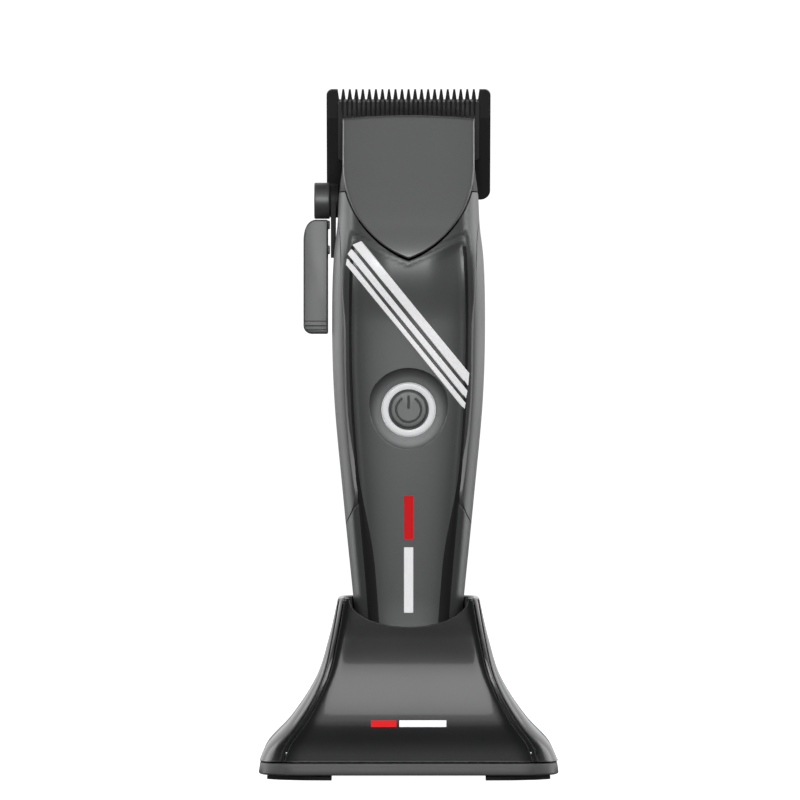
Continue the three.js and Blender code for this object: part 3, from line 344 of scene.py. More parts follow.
def combine(thing, operation, *others):
    """Cuts, joins or intersects thing with others, which are used up."""
    for other in others:
        modifier = thing.modifiers.new("combine", "BOOLEAN")
        modifier.operation = operation
        modifier.solver = "MANIFOLD"
        modifier.object = other
    apply_modifiers(thing)
    for other in others:
        bpy.data.objects.remove(other)
    return thing


def cut(thing, *others):
    return combine(thing, "DIFFERENCE", *others)


def keep(thing, *others):
    return combine(thing, "INTERSECT", *others)


def join(thing, *others):
    return combine(thing, "UNION", *others)


def turned(name, profile, centre, axis, sides=96):
    """A turned piece from a profile of (radius, place along the axis), closed on the axis or on itself."""
    rings = []
    for k in range(sides):
        angle = 2 * math.pi * k / sides
        across, up = math.cos(angle), math.sin(angle)
        rings.append([(radius * across, radius * up, along) for radius, along in profile])
    count = len(profile)
    points = np.array(rings).reshape(-1, 3)
    if axis == "x":
        points = points[:, [2, 0, 1]]
    elif axis == "y":
        points = points[:, [1, 2, 0]]
    faces = []
    for k in range(sides):
        nxt = (k + 1) % sides
        for i in range(count):
            j = (i + 1) % count
            faces.append((k * count + i, k * count + j, nxt * count + j, nxt * count + i))
    thing = make_object(name, points + np.array(centre, float), faces)
    weld(thing)
    return thing


def plate(name, outline, axis, start, end):
    """A flat outline given a thickness: drawn in YZ along x, or in XZ along y."""
    outline = np.array(outline, float)
    columns = {"x": (lambda a, o: (a, o[0], o[1])), "y": (lambda a, o: (o[0], a, o[1]))}[axis]
    rings = [np.array([columns(along, o) for o in outline]) for along in (start, end)]
    return loft(name, rings)


def arc(centre, radius, start, end, count=10):
    """Points of a circle between two angles in degrees."""
    turns = np.radians(np.linspace(start, end, count))
    return [(centre[0] + radius * math.cos(t), centre[1] + radius * math.sin(t)) for t in turns]


def soften(thing, width, segments=3, angle=30):
    """Rounds a piece's edges with real geometry."""
    bevel = thing.modifiers.new("soften", "BEVEL")
    bevel.width = width * MM
    bevel.segments = segments
    bevel.limit_method = "ANGLE"
    bevel.angle_limit = math.radians(angle)
    apply_modifiers(thing)
    return thing


def weld(thing, distance=1e-6):
    build = bmesh.new()
    build.from_mesh(thing.data)
    bmesh.ops.remove_doubles(build, verts=build.verts, dist=distance)
    bmesh.ops.dissolve_degenerate(build, edges=build.edges, dist=distance)
    bmesh.ops.recalc_face_normals(build, faces=build.faces)
    build.to_mesh(thing.data)
    build.free()


def sheet(name, outer, inner, lift=0.0):
    """A closed slab between two equal grids of points."""
    rows, columns = outer.shape[:2]
    index = np.arange(rows * columns).reshape(rows, columns)
    offset = rows * columns
    faces = []
    for r in range(rows - 1):
        for c in range(columns - 1):
            quad = (index[r, c], index[r, c + 1], index[r + 1, c + 1], index[r + 1, c])
            faces.append(quad)
            faces.append(tuple(q + offset for q in quad[::-1]))
    border = [*index[0, :], *index[1:, -1], *index[-1, -2::-1], *index[-2:0:-1, 0]]
    for a, b in zip(border, border[1:] + border[:1]):
        faces.append((b, a, a + offset, b + offset))
    thing = make_object(name, np.vstack([outer.reshape(-1, 3), inner.reshape(-1, 3)]), faces, lift)
    weld(thing)
    return thing


def spread(count, rim_share):
    """Places from 0 to 1, crowded within rim_share of both ends."""
    rim = rim_share * (1 - np.cos(np.linspace(0, math.pi / 2, 5)))
    middle = np.linspace(rim_share, 1 - rim_share, count)
    return np.concatenate([rim[:-1], middle, 1 - rim[:-1][::-1]])


def rim_drop(distance, radius):
    """How far a rounded rim lies below the face at a distance from its edge."""
    d = np.clip(distance, 0, radius)
    return radius - np.sqrt(np.maximum(radius**2 - (radius - d)**2, 0))


def finish_piece(thing, body, material, replaces=(), sharp=35):
    for polygon in thing.data.polygons:
        polygon.use_smooth = True
    thing.data.set_sharp_from_angle(angle=math.radians(sharp))
    thing.data.materials.clear()
    thing.data.materials.append(material)
    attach(thing, body)
    if replaces:
        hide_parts(*replaces)
    return thing


def smooth_on_form(thing, form, lift, tolerance=30):
    """Gives the faces that lie on a form the form's own normals, so cuts leave no creases."""
    mesh = thing.data
    points = np.empty(len(mesh.vertices) * 3)
    mesh.vertices.foreach_get("co", points)
    points = points.reshape(-1, 3) / MM - [0, 0, lift]
    angle = form.angle_of(points)
    ideal = form.normal(angle, points[:, 2])
    off = np.abs(np.einsum("ij,ij->i", points - form.point(angle, points[:, 2]), ideal))
    corner_vertex = np.empty(len(mesh.loops), int)
    mesh.loops.foreach_get("vertex_index", corner_vertex)
    current = np.empty(len(mesh.loops) * 3)
    mesh.corner_normals.foreach_get("vector", current)
    current = current.reshape(-1, 3)
    face_normal = np.empty(len(mesh.polygons) * 3)
    mesh.polygons.foreach_get("normal", face_normal)
    loop_total = np.empty(len(mesh.polygons), int)
    mesh.polygons.foreach_get("loop_total", loop_total)
    face_of_corner = np.repeat(np.arange(len(mesh.polygons)), loop_total)
    face_off = np.zeros(len(mesh.polygons))
    np.maximum.at(face_off, face_of_corner, off[corner_vertex])
    facing = np.einsum("ij,ij->i", ideal[corner_vertex], face_normal.reshape(-1, 3)[face_of_corner])
    along = (facing > math.cos(math.radians(tolerance))) & (face_off[face_of_corner] < 0.06)
    current[along] = ideal[corner_vertex][along]
    mesh.normals_split_custom_set(current.tolist())


# ---- materials ----
def add_node(tree, kind, inputs=None, **settings):
    """Adds a node. Each input gets a value, or a link when it is another node's output."""
    node = tree.nodes.new(kind)
    for key, value in settings.items():
        setattr(node, key, value)
    for key, value in (inputs or {}).items():
        if isinstance(value, bpy.types.NodeSocket):
            tree.links.new(value, node.inputs[key])
        else:
            node.inputs[key].default_value = value
    return node


def scaled(colour, factor, offset=0.0):
    return (*[min(1, c * factor + offset) for c in colour], 1)


def worn_edges(tree, colour, base, edge_normal, broad, amount):
    """Lighter paint where an edge is rounded, in patches."""
    geometry = add_node(tree, "ShaderNodeNewGeometry")
    lean = add_node(tree, "ShaderNodeVectorMath", {0: edge_normal, 1: geometry.outputs["Normal"]},
                    operation="DOT_PRODUCT")
    worn = add_node(tree, "ShaderNodeMapRange", {"Value": lean.outputs["Value"], "From Min": 0.985,
                                                 "From Max": 0.85, "To Max": amount})
    patchy = add_node(tree, "ShaderNodeMath", {0: worn.outputs["Result"], 1: broad}, operation="MULTIPLY")
    rub = add_node(tree, "ShaderNodeMix", data_type="RGBA", inputs={
        "Factor": patchy.outputs["Value"], "A": base, "B": scaled(colour, 2.2, 0.1)})
    return rub.outputs["Result"]


def glitter(tree, base, place, amount):
    """Small flakes of a cooler grey."""
    cells = add_node(tree, "ShaderNodeTexVoronoi", {"Scale": 1 / 0.00028, "Vector": place})
    split = add_node(tree, "ShaderNodeSeparateColor", {"Color": cells.outputs["Color"]})
    pick = add_node(tree, "ShaderNodeMapRange", {"Value": split.outputs["Red"], "From Min": 0.35,
                                                 "From Max": 0.95, "To Max": amount})
    glint = add_node(tree, "ShaderNodeMix", data_type="RGBA", inputs={
        "Factor": pick.outputs["Result"], "A": base, "B": (0.55, 0.56, 0.58, 1)})
    return glint.outputs["Result"]


def surface(name, colour, roughness, metallic=0.0, coat=0.0, grain=0.0004, bump=0.15, speckle=0.06,
            wear=0.0, stretch=(1, 1, 1), rounding=0.00022, emission=0.0, sparkle=0.0, specular=0.5):
    """A principled surface with fine grain, uneven gloss, rounded edges and light edge wear."""
    material = bpy.data.materials.new(name)
    material.use_nodes = True
    tree = material.node_tree
    shader = tree.nodes["Principled BSDF"]
    for key, value in (("Metallic", metallic), ("Coat Weight", coat), ("Coat Roughness", 0.06),
                       ("Specular IOR Level", specular)):
        shader.inputs[key].default_value = value
    place = add_node(tree, "ShaderNodeTexCoord").outputs["Object"]
    mapping = add_node(tree, "ShaderNodeMapping", {"Scale": stretch, "Vector": place})
    fine = add_node(tree, "ShaderNodeTexNoise", {
        "Scale": 1 / grain, "Detail": 3, "Vector": mapping.outputs["Vector"]}).outputs["Fac"]
    broad = add_node(tree, "ShaderNodeTexNoise", {"Scale": 60, "Detail": 4, "Vector": place}).outputs["Fac"]
    tone = add_node(tree, "ShaderNodeMix", data_type="RGBA", inputs={
        "Factor": fine, "A": scaled(colour, 1 - speckle), "B": scaled(colour, 1 + speckle)})
    gloss = add_node(tree, "ShaderNodeMapRange", {
        "Value": broad, "To Min": roughness * 0.88, "To Max": min(1, roughness * 1.14)})
    edge = add_node(tree, "ShaderNodeBevel", {"Radius": rounding}, samples=4).outputs["Normal"]
    relief = add_node(tree, "ShaderNodeBump", {
        "Strength": bump, "Distance": grain * 0.25, "Height": fine, "Normal": edge})
    result = tone.outputs["Result"]
    if wear:
        result = worn_edges(tree, colour, result, edge, broad, wear)
    if sparkle:
        result = glitter(tree, result, place, sparkle)
    tree.links.new(gloss.outputs["Result"], shader.inputs["Roughness"])
    tree.links.new(relief.outputs["Normal"], shader.inputs["Normal"])
    tree.links.new(result, shader.inputs["Base Color"])
    if emission:
        tree.links.new(result, shader.inputs["Emission Color"])
        shader.inputs["Emission Strength"].default_value = emission
    return material


PAINT = {"metallic": 0.6, "specular": 0.3}       # metallic paint, as on all the grey shells
GUNMETAL = surface("gunmetal_paint", (0.18, 0.184, 0.184), 0.42, wear=0.2, bump=0.08, **PAINT)
SHIELD_PAINT = surface("shield_paint", (0.26, 0.264, 0.264), 0.42, wear=0.35, bump=0.06, **PAINT)
GRIP_PAINT = surface("grip_paint", (0.20, 0.203, 0.202), 0.42, wear=0.2, bump=0.1, **PAINT)
LEVER_PAINT = surface("lever_paint", (0.20, 0.203, 0.202), 0.45, wear=0.3, bump=0.08, **PAINT)
BLACK_PLASTIC = surface("black_plastic", (0.018, 0.018, 0.019), 0.55, grain=0.0005, bump=0.3)
LIP_BLACK = surface("lip_black", (0.1, 0.1005, 0.101), 0.45, bump=0.05, speckle=0.1, rounding=0.0004)
GLOSS_BLACK = surface("gloss_black", (0.009, 0.0095, 0.01), 0.24, coat=0.4, bump=0.01, speckle=0.1,
                      rounding=0.0005)
BLADE = {"metallic": 0.7, "stretch": (1, 0.06, 0.06), "bump": 0.2, "wear": 0.25, "rounding": 0.00008}
BLADE_STEEL = surface("blade_steel", (0.10, 0.10, 0.101), 0.38, **BLADE)
CUTTER_STEEL = surface("cutter_steel", (0.24, 0.24, 0.242), 0.36, **BLADE)
STEEL = surface("bright_steel", (0.55, 0.55, 0.56), 0.28, metallic=1.0, stretch=(1, 1, 0.1), bump=0.1)
# its emission paints light: the stripes and white bars glow, brighter than the lamps alone make them
GLOWING_FOIL = surface("stripe_foil", (0.82, 0.82, 0.83), 0.3, metallic=0.1, sparkle=0.3, bump=0.1,
                      rounding=0.00008, emission=0.62)
# its emission paints light: the red bars glow, though no lamp is in them
GLOWING_RED = surface("accent_red", (0.72, 0.012, 0.016), 0.55, speckle=0.08, bump=0.05, rounding=0.00005,
                     emission=0.4, specular=0.15)
# painted shade: a near-black for the strips that stand in for the shade in the front panel's valley
VALLEY_SHADE_PAINT = surface("valley_shade_paint", (0.022, 0.0225, 0.0225), 0.5, bump=0.08, rounding=0.0001, specular=0.3)
# painted shade: the dark grey that stands in for the shade inside the engraved standby sign
SIGN_GROOVE_SHADE = surface("sign_groove_shade", (0.09, 0.092, 0.092), 0.5, metallic=0.3, bump=0.05, rounding=0.00005)
DIFFUSER = surface("light_diffuser", (0.84, 0.85, 0.86), 0.3, speckle=0.02, bump=0.03, emission=0.4)
BRASS = surface("contact_brass", (0.72, 0.5, 0.2), 0.25, metallic=1.0, bump=0.05)
BOARD = surface("circuit_board", (0.02, 0.12, 0.05), 0.4, coat=0.3, grain=0.0008, speckle=0.25, bump=0.2)
CELL_WRAP = surface("battery_wrap", (0.03, 0.1, 0.28), 0.35, grain=0.001, speckle=0.12, bump=0.1)
RUBBER = surface("foot_rubber", (0.02, 0.02, 0.02), 0.8, grain=0.0006, speckle=0.2, bump=0.5)


# ---- the clipper's shells ----
HOUSING_TOP = from_tips(29.2)
REAR_TOP = from_tips(37)
SHIELD_TOP = from_tips(8.2)
SHIELD_BEND = from_tips(21.4)
SHIELD_TIP = from_tips(48)
SHIELD_HALF = 18.4
SHIELD_WRAP = 5.5
BUTTON_Z = 0.653 * HANDLE


def shield_half_width(z, grow=0.0):
    """Half the shield's width at a height: straight above the bend, a pointed arch below it."""
    tip = SHIELD_TIP - 1.4 * grow
    half = SHIELD_HALF + grow
    if z >= SHIELD_BEND:
        return half
    arch = bezier((0, tip), (half * 0.435, tip + 2.8), (half * 0.99, SHIELD_BEND - 14.8),
                  (half, SHIELD_BEND), 120)
    return float(np.interp(z, arch[:, 1], arch[:, 0]))


def shield_rows(grow, count=60):
    tip = SHIELD_TIP - 1.4 * grow
    share = np.linspace(0, 1, count)**1.5
    return tip + (SHIELD_TOP + grow - 0.5 - tip) * share


def slab_ring(half, front, back, z):
    """A rectangle at a height, centred on x."""
    return np.array([(-half, front, z), (half, front, z), (half, back, z), (-half, back, z)])


def shield_prism(grow):
    """The shield's field, from in front of the body's face to a little behind it."""
    rings = []
    for z in shield_rows(grow):
        half = max(shield_half_width(z, grow), 0.02)
        front = float(body_size(np.array(z))[1])
        rings.append(slab_ring(half, front - 6, front + SHIELD_WRAP + grow, z))
    return loft("shield_prism", rings, SEAT)


def make_shield():
    """A nearly flat plate that stands a little proud of the body, with a round rim and an arched top."""
    rim, proud, crown, thickness = 0.55, 0.5, 1.1, 1.5
    rows = shield_rows(0.0, 70)
    tops = np.linspace(SHIELD_TOP - 3.2, SHIELD_TOP, 12)
    rows = np.concatenate([rows[rows < SHIELD_TOP - 3.4], tops])
    places = spread(41, 0.035)
    outer = np.empty((len(rows), len(places), 3))
    inner = np.empty_like(outer)
    arch_start, arch_height = SHIELD_TOP - 9, 0.6
    for r, z in enumerate(rows):
        half = max(shield_half_width(z), 0.01)
        slope = (shield_half_width(z + 0.2) - shield_half_width(z - 0.2)) / 0.4
        width = float(body_size(np.array(z))[0])
        reach = float(body_form.front_angle(half * width / (width + proud), np.array(z))) + math.pi / 2
        for c, share in enumerate(places):
            side = 2 * share - 1
            edge_distance = (1 - abs(side)) * half / math.sqrt(1 + slope**2)
            drop = max(rim_drop(edge_distance, rim), rim_drop(SHIELD_TOP - z, rim))
            arch = max(0, (z - arch_start) / (SHIELD_TOP - arch_start))
            height = z + (1 - 1.6 * side**2) * arch_height * arch
            x = side * half
            front = float(body_size(np.array(height))[1]) - proud + crown * abs(x / SHIELD_HALF)**2.4
            outer[r, c] = x, front + drop, height
            inner[r, c] = body_form.point(side * reach - math.pi / 2, height, thickness)
    shield = sheet("head_shield_skin", outer, inner, SEAT)
    return finish_piece(shield, "clipper", SHIELD_PAINT, ["head_shield"], sharp=50)


# ---- side grips ----
def grip_outline(grow):
    top = from_tips(36.7) + grow
    end = from_tips(122.5) - grow
    return np.vstack([
        bezier((-3, top), (-10.5, top - 3), (-15.1 - grow, top - 8), (-15.2 - grow, top - 17), 30),
        bezier((-15.2 - grow, top - 17), (-15.3 - grow, top - 36), (-13.3 - grow, end + 34),
               (-13.8 - grow, end + 10), 30),
        bezier((-13.8 - grow, end + 10), (-13.6 - grow, end + 4), (-10, end + 1), (0, end), 30),
        bezier((0, end), (5, end + 8), (7.5 + grow, end + 16), (8 + grow, end + 34), 24),
        bezier((8 + grow, end + 34), (8.4 + grow, top - 30), (8.2 + grow, top - 14), (-3, top), 40),
    ])


def grip_prism(side, grow):
    near = 0.62 * BODY_WIDTH / 2 - grow
    outline = grip_outline(grow)
    rings = [np.array([(side * x, y, z) for y, z in outline]) for x in (near, BODY_WIDTH)]
    return loft("grip_prism", rings, SEAT)


def make_grip(side, name):
    lower, upper = from_tips(124.5), from_tips(35)
    grip = form_solid(body_form, lower, upper, 0.0, lift=SEAT)
    grip = cut(grip, form_solid(body_form, lower - 1, upper + 1, 1.5, lift=SEAT))
    grip = keep(grip, grip_prism(side, -0.05))
    finish_piece(grip, "clipper", GRIP_PAINT, [name])
    smooth_on_form(grip, body_form, SEAT)
    grip.name = f"{name}_skin"
    return grip


# ---- the three diagonal stripes ----
STRIPE_SLOPE = math.atan(1.206)
# Width, a point on the middle line, then how far each end's corners stay inside the body's side.
STRIPES = {
    "stripe_wide": (2.4, 1.15, from_tips(62.5), (8.0, 5.7), (4.4, 4.7)),
    "stripe_middle": (1.6, -0.15, from_tips(65.8), (5.3, 4.3), (4.9, 5.3)),
    "stripe_narrow": (1.25, -0.8, from_tips(68.8), (4.1, 3.85), (5.4, 5.7)),
}


def stripe_grid(name, along, across, inset, grow=0.0):
    """Points of the body's front on a stripe. along and across run from 0 to 1."""
    width, x0, z0, left, right = STRIPES[name]
    sine, cosine = math.sin(STRIPE_SLOPE), math.cos(STRIPE_SLOPE)
    v = (np.asarray(across) - 0.5) * (width + 2 * grow)
    start_x = np.interp(across, [0, 1], [left[1], left[0]]) - BODY_WIDTH / 2
    end_x = BODY_WIDTH / 2 - np.interp(across, [0, 1], [right[1], right[0]])
    start = (start_x - x0 - v * sine) / cosine - grow
    end = (end_x - x0 - v * sine) / cosine + grow
    t = start[None, :] + (end - start)[None, :] * np.asarray(along)[:, None]
    x = x0 + t * cosine + v[None, :] * sine
    z = z0 - t * sine + v[None, :] * cosine
    return body_form.point(body_form.front_angle(x, z), z, inset)


def make_stripe(name):
    width = STRIPES[name][0]
    along, across = spread(60, 0.003), spread(5, 0.1)
    outer = stripe_grid(name, along, across, 0.16)
    edge = np.minimum(np.minimum(across, 1 - across)[None, :] * width,
                      np.minimum(along, 1 - along)[:, None] * 50)
    outer[..., 1] += rim_drop(edge, 0.1)
    stripe = sheet(f"{name}_foil", outer, stripe_grid(name, along, across, 0.55), SEAT)
    return finish_piece(stripe, "clipper", GLOWING_FOIL, [name], sharp=60)


def stripe_groove(name):
    along, across = np.linspace(0, 1, 40), np.linspace(0, 1, 3)
    return sheet("groove", stripe_grid(name, along, across, -1.5, 0.12),
                 stripe_grid(name, along, across, 0.8, 0.12), SEAT)


# ---- housings ----
def housing_tube(form, top, step):
    bottom = 5 + GAP
    tube = form_solid(form, bottom, top, 0.0, step=step, lift=SEAT)
    return cut(tube, form_solid(body_form, bottom - 1, top + 1, WALL, step=4, lift=SEAT))


def grip_pocket(side, grow=0.3):
    lower, upper = from_tips(126), from_tips(32)
    pocket = form_solid(body_form, lower, upper, -2, lift=SEAT)
    pocket = cut(pocket, form_solid(body_form, lower - 1, upper + 1, 1.8, lift=SEAT))
    return keep(pocket, grip_prism(side, grow))


DISH_RADIUS = 11.55
DISH_FLOOR = 7.6
DISH_RIM_DEPTH = 0.42
DISH_DEPTH = 1.4


def button_dish():
    """The bowl around the power button, with a crisp rim and a bore for the ring."""
    face = float(body_size(np.array(BUTTON_Z))[1])
    width, fall = DISH_RADIUS - DISH_FLOOR, 0.95
    bowl = [(0, face - 3), (DISH_RADIUS, face - 3), (DISH_RADIUS, face + DISH_RIM_DEPTH)]
    bowl += [(DISH_FLOOR + width * math.cos(t), face + DISH_RIM_DEPTH + fall * math.sin(t))
             for t in np.linspace(0.15, 1.45, 12)]
    bowl += [(DISH_FLOOR, face + DISH_DEPTH), (DISH_FLOOR, face + 5), (0, face + 5)]
    return turned("dish", bowl, (0, 0, BUTTON_Z + SEAT), "y", 160)


def make_front_housing():
    far = BODY_WIDTH
    housing = housing_tube(face_form, HOUSING_TOP, 0.8)
    housing = cut(housing, box_solid((-far, -GAP / 2, 0), (far, far, 300)))
    housing = cut(housing, shield_prism(0.45), grip_pocket(-1), grip_pocket(1))
    for name in STRIPES:
        housing = cut(housing, stripe_groove(name))
    housing = cut(housing, button_dish())
    finish_piece(housing, "clipper", GUNMETAL, ["front_housing"])
    smooth_on_form(housing, face_form, SEAT)
    housing.name = "front_housing_skin"
    return housing


def make_rear_housing():
    far = BODY_WIDTH
    boss_front, boss_radius, bore_radius, sink_radius, sink_depth = 9.2, 3.2, 1.5, 2.7, 2.4
    housing = housing_tube(body_form, REAR_TOP, 1.5)
    housing = cut(housing, box_solid((-far, -far, 0), (far, GAP / 2, 300)), grip_pocket(-1), grip_pocket(1))
    for node in ("housing_screw_lower", "housing_screw_upper"):
        z = (low(node)[2] + high(node)[2]) / 2
        back = float(body_size(np.array(z - SEAT))[2])
        sink = [(0, back - sink_depth), (sink_radius, back - sink_depth), (sink_radius, back - 0.1),
                (sink_radius + 0.4, back + 3), (0, back + 3)]
        boss = [(0, boss_front), (boss_radius, boss_front), (boss_radius, back - 1), (0, back - 1)]
        bore = [(0, 0), (bore_radius, 0), (bore_radius, back), (0, back)]
        housing = join(housing, turned("boss", boss, (0, 0, z), "y", 48))
        housing = cut(housing, turned("bore", bore, (0, 0, z), "y", 32),
                      turned("sink", sink, (0, 0, z), "y", 64))
    finish_piece(housing, "clipper", GUNMETAL, ["rear_housing"])
    smooth_on_form(housing, body_form, SEAT)
    housing.name = "rear_housing_skin"
    return housing


# ---- light ring and power button ----
def rounded_profile(corners, radius, steps=4):
    """Rounds every corner of a closed profile that lies off the axis."""
    points = []
    count = len(corners)
    for i, corner in enumerate(corners):
        p = np.array(corner, float)
        if p[0] < 1e-6:
            points.append(tuple(p))
            continue
        before = np.array(corners[i - 1], float) - p
        after = np.array(corners[(i + 1) % count], float) - p
        r = min(radius, np.linalg.norm(before) / 2.2, np.linalg.norm(after) / 2.2)
        start = p + before / np.linalg.norm(before) * r
        end = p + after / np.linalg.norm(after) * r
        for t in np.linspace(0, 1, steps + 1):
            points.append(tuple((1 - t)**2 * start + 2 * (1 - t) * t * p + t**2 * end))
    return points


def make_light_ring():
    face, back = low("light_ring")[1], high("light_ring")[1]
    outside, flange, bore = 7.3, 8.8, 5.65
    profile = rounded_profile([(bore, face), (outside, face), (outside, back - 0.8), (flange, back - 0.8),
                               (flange, back), (bore, back)], 0.25)
    ring = turned("light_ring_body", profile, (0, 0, BUTTON_Z + SEAT), "y", 128)
    return finish_piece(ring, "clipper", DIFFUSER, ["light_ring"])


def standby_sign(slack):
    """Outlines of a standby sign: a ring open at the top, and an upright bar. slack widens both."""
    centre = BUTTON_Z + SEAT
    inside, outside, opening = 3.24 - slack, 3.71 + slack, 30.6 - 15 * slack
    half_bar, foot, head = 0.25 + slack, 0.29 - slack, 3.81 + slack
    ring = (arc((0, centre), outside, 90 + opening, 450 - opening, 48)
            + arc((0, centre), inside, 450 - opening, 90 + opening, 48))
    bar = [(-half_bar, centre + foot), (half_bar, centre + foot), (half_bar, centre + head),
           (-half_bar, centre + head)]
    return {"power_sign_ring": ring, "power_sign_bar": bar}


def make_sign_groove_shade():
    """Thin dark inlays, a hair below the button's face: painted shade in the engraved sign's grooves."""
    face = low("power_button")[1]
    for name, shape in standby_sign(0).items():
        finish_piece(plate(name, shape, "y", face + 0.05, face + 0.16), "button", SIGN_GROOVE_SHADE)


def make_power_button():
    face, back = low("power_button")[1], high("power_button")[1]
    radius, collar = 5.35, back - 1.2
    flange, flange_thickness, stem = radius + 1, 0.8, 1.5
    profile = [(0, face), (radius - 0.75, face), (radius - 0.25, face + 0.06), (radius - 0.06, face + 0.24),
               (radius, face + 0.45), (radius, collar), (flange, collar), (flange, collar + flange_thickness),
               (stem, collar + flange_thickness), (stem, back), (0, back)]
    button = turned("power_button_body", profile, (0, 0, BUTTON_Z + SEAT), "y", 128)
    sign_depth = 0.14
    button = cut(button, *[plate("groove", shape, "y", face - 1, face + sign_depth)
                           for shape in standby_sign(0.04).values()])
    button.name = "power_button_body"
    return finish_piece(button, "button", GUNMETAL, ["power_button"], sharp=40)


# ---- the taper lever ----
def hub_centre():
    """The lever's axis, as (y, z)."""
    return (low("lever_hub")[1:] + high("lever_hub")[1:]) / 2


def make_lever_hub():
    left, right = low("lever_hub")[0], high("lever_hub")[0]
    radius, sink, depth, bore = 5.1, 2.7, 1.6, 1.5
    profile = rounded_profile([(radius, left), (radius, right), (bore, right), (bore, left + depth),
                               (sink, left + depth), (sink, left)], 0.45)
    hub = turned("lever_hub_body", profile, (0, *hub_centre()), "x", 96)
    return finish_piece(hub, "lever", LEVER_PAINT, ["lever_hub"], sharp=50)


def make_lever_collar():
    """The dark neck between the hub and the body, which turns with the lever."""
    centre = hub_centre()
    left = high("lever_hub")[0] + 0.02
    right = -body_size(np.array(centre[1] - SEAT))[0] - 0.05
    radius, bore = 4.75, 3.1
    profile = rounded_profile([(radius, left), (radius, right), (bore, right), (bore, left)], 0.35)
    collar = turned("lever_collar", profile, (0, *centre), "x", 96)
    return finish_piece(collar, "lever", BLACK_PLASTIC, sharp=50)


def make_lever_paddle():
    """The thumb paddle: a broad rounded blade with a curled lip along its lower edge."""
    left, top, bottom = low("lever_paddle")[0], high("lever_paddle")[2], low("lever_paddle")[2]
    front, back = low("lever_paddle")[1], high("lever_paddle")[1]
    inner, corner = left + 6.9, 2.3
    outline = [(inner, top)]
    outline += [tuple(p) for p in bezier((left + 3.4, top), (left + 1.2, top - 0.2), (left, top - 2.4),
                                         (left, top - 6), 14)]
    outline += [(left, top - 6), (left, bottom + corner)]
    outline += arc((left + corner, bottom + corner), corner, 180, 270, 10)[1:]
    outline += [(inner, bottom)]
    paddle = soften(plate("paddle", outline, "y", front, back), 0.5, 4, 40)
    for z, height in ((bottom + 3.5, 0.32), (bottom + 2.2, 0.5), (bottom + 1.1, 0.3)):
        groove = [(front - 1, z - height), (front + 0.35, z), (front - 1, z + height)]
        paddle = cut(paddle, plate("lip_line", groove, "x", left - 1, inner + 1))
    paddle.name = "lever_paddle_body"
    centre_y = (front + back) / 2
    for rib_top in (top, top - 7):
        rib = box_solid((inner - 0.6, centre_y - 2, rib_top - 2.6),
                        (high("lever_paddle")[0], centre_y + 2, rib_top - 0.2))
        paddle = join(paddle, soften(rib, 0.25, 2))
    return finish_piece(paddle, "lever", LEVER_PAINT, ["lever_paddle"], sharp=28)


# ---- painted shade: dark strips laid in the valley around the front panel, where shade falls ----
def make_valley_shade_strip(side, name):
    rows = np.linspace(6, PANEL_TOP - 3.2, 90)
    half = body_size(rows)[0]
    width = 1.1 + 2.8 * ease((66 - rows) / 30)
    outer_edge = PANEL_SHARE * half + 0.15
    across = np.linspace(0, 1, 9)
    x = side * (outer_edge[:, None] - width[:, None] * across[None, :])
    z = np.broadcast_to(rows[:, None], x.shape)
    angle = face_form.front_angle(x, z)
    crown = 0.04 - 0.09 * (2 * across[None, :] - 1)**4
    strip = sheet(name, face_form.point(angle, z, -crown), face_form.point(angle, z, 0.4), SEAT)
    return finish_piece(strip, "clipper", VALLEY_SHADE_PAINT, sharp=50)


# ---- small colour accents where a maker would print a name ----
HANDLE_ACCENT = {"body": "clipper", "form": face_form, "lift": SEAT, "across": (-1.3, 1.3)}
STAND_ACCENT = {"body": "stand", "form": stand_form, "lift": 0, "up": (14.6, 16.4)}


def make_accent(name, material, body, form, lift, across, up):
    """A thin bar on a form's front, between two places across and two heights."""
    x, z = np.meshgrid(np.linspace(*across, 9), np.linspace(*up, 25))
    outer = form.point(form.front_angle(x, z), z, -0.04)
    inner = form.point(form.front_angle(x, z), z, 0.02)
    return finish_piece(sheet(name, outer, inner, lift), body, material, sharp=60)


# ---- the stand ----
def panel_half(z):
    return float(stand_size(np.array(z))[0]) * (0.82 + 0.08 * z / RIM_Z)


def panel_prism(grow, longer=0):
    """The field of the stand's front panel, which reaches back to a little in front of the middle."""
    rings = [slab_ring(panel_half(z) + grow, -STAND_DEPTH - longer, -6 + grow, z)
             for z in np.linspace(SKIRT_TOP - 1 - longer, RIM_Z + 2 + longer, 60)]
    return loft("panel_prism", rings)


def stand_wall():
    """The flared wall, with its upper edge fully rounded."""
    bottom, rim = SKIRT_TOP + GAP, STAND_WALL / 2
    levels = np.linspace(bottom, RIM_Z - rim, 52)
    outer = [stand_form.ring(z, 0.0) for z in levels[:-1]]
    inner = [stand_form.ring(z, STAND_WALL) for z in np.linspace(bottom - 1, RIM_Z - rim, 26)[:-1]]
    for turn in np.linspace(0, math.pi / 2, 7):
        z = RIM_Z - rim + rim * math.sin(turn)
        outer.append(stand_form.ring(z, rim * (1 - math.cos(turn)) * 0.98))
        inner.append(stand_form.ring(z, STAND_WALL - rim * (1 - math.cos(turn)) * 0.98))
    inner.append(stand_form.ring(RIM_Z + 1, STAND_WALL - rim * 0.98))
    return cut(loft("wall", outer), loft("hollow", inner))


def rim_dip(grow):
    turns = np.linspace(0, 2 * math.pi, 96, endpoint=False)
    half, depth = tail_at_rim[0] + 1 + grow, 8 + grow
    rings = [np.array([(half * math.cos(a), y, RIM_Z + depth * math.sin(a)) for a in turns])
             for y in (-STAND_DEPTH, -2)]
    return loft("rim_dip", rings)


def seam_line():
    """A fine groove that runs beside the panel's seam."""
    skin = form_solid(stand_form, SKIRT_TOP - 1, RIM_Z + 1, -1)
    skin = cut(skin, form_solid(stand_form, SKIRT_TOP - 2, RIM_Z + 2, 0.35))
    return keep(skin, cut(panel_prism(1.75), panel_prism(1.4, 1)))


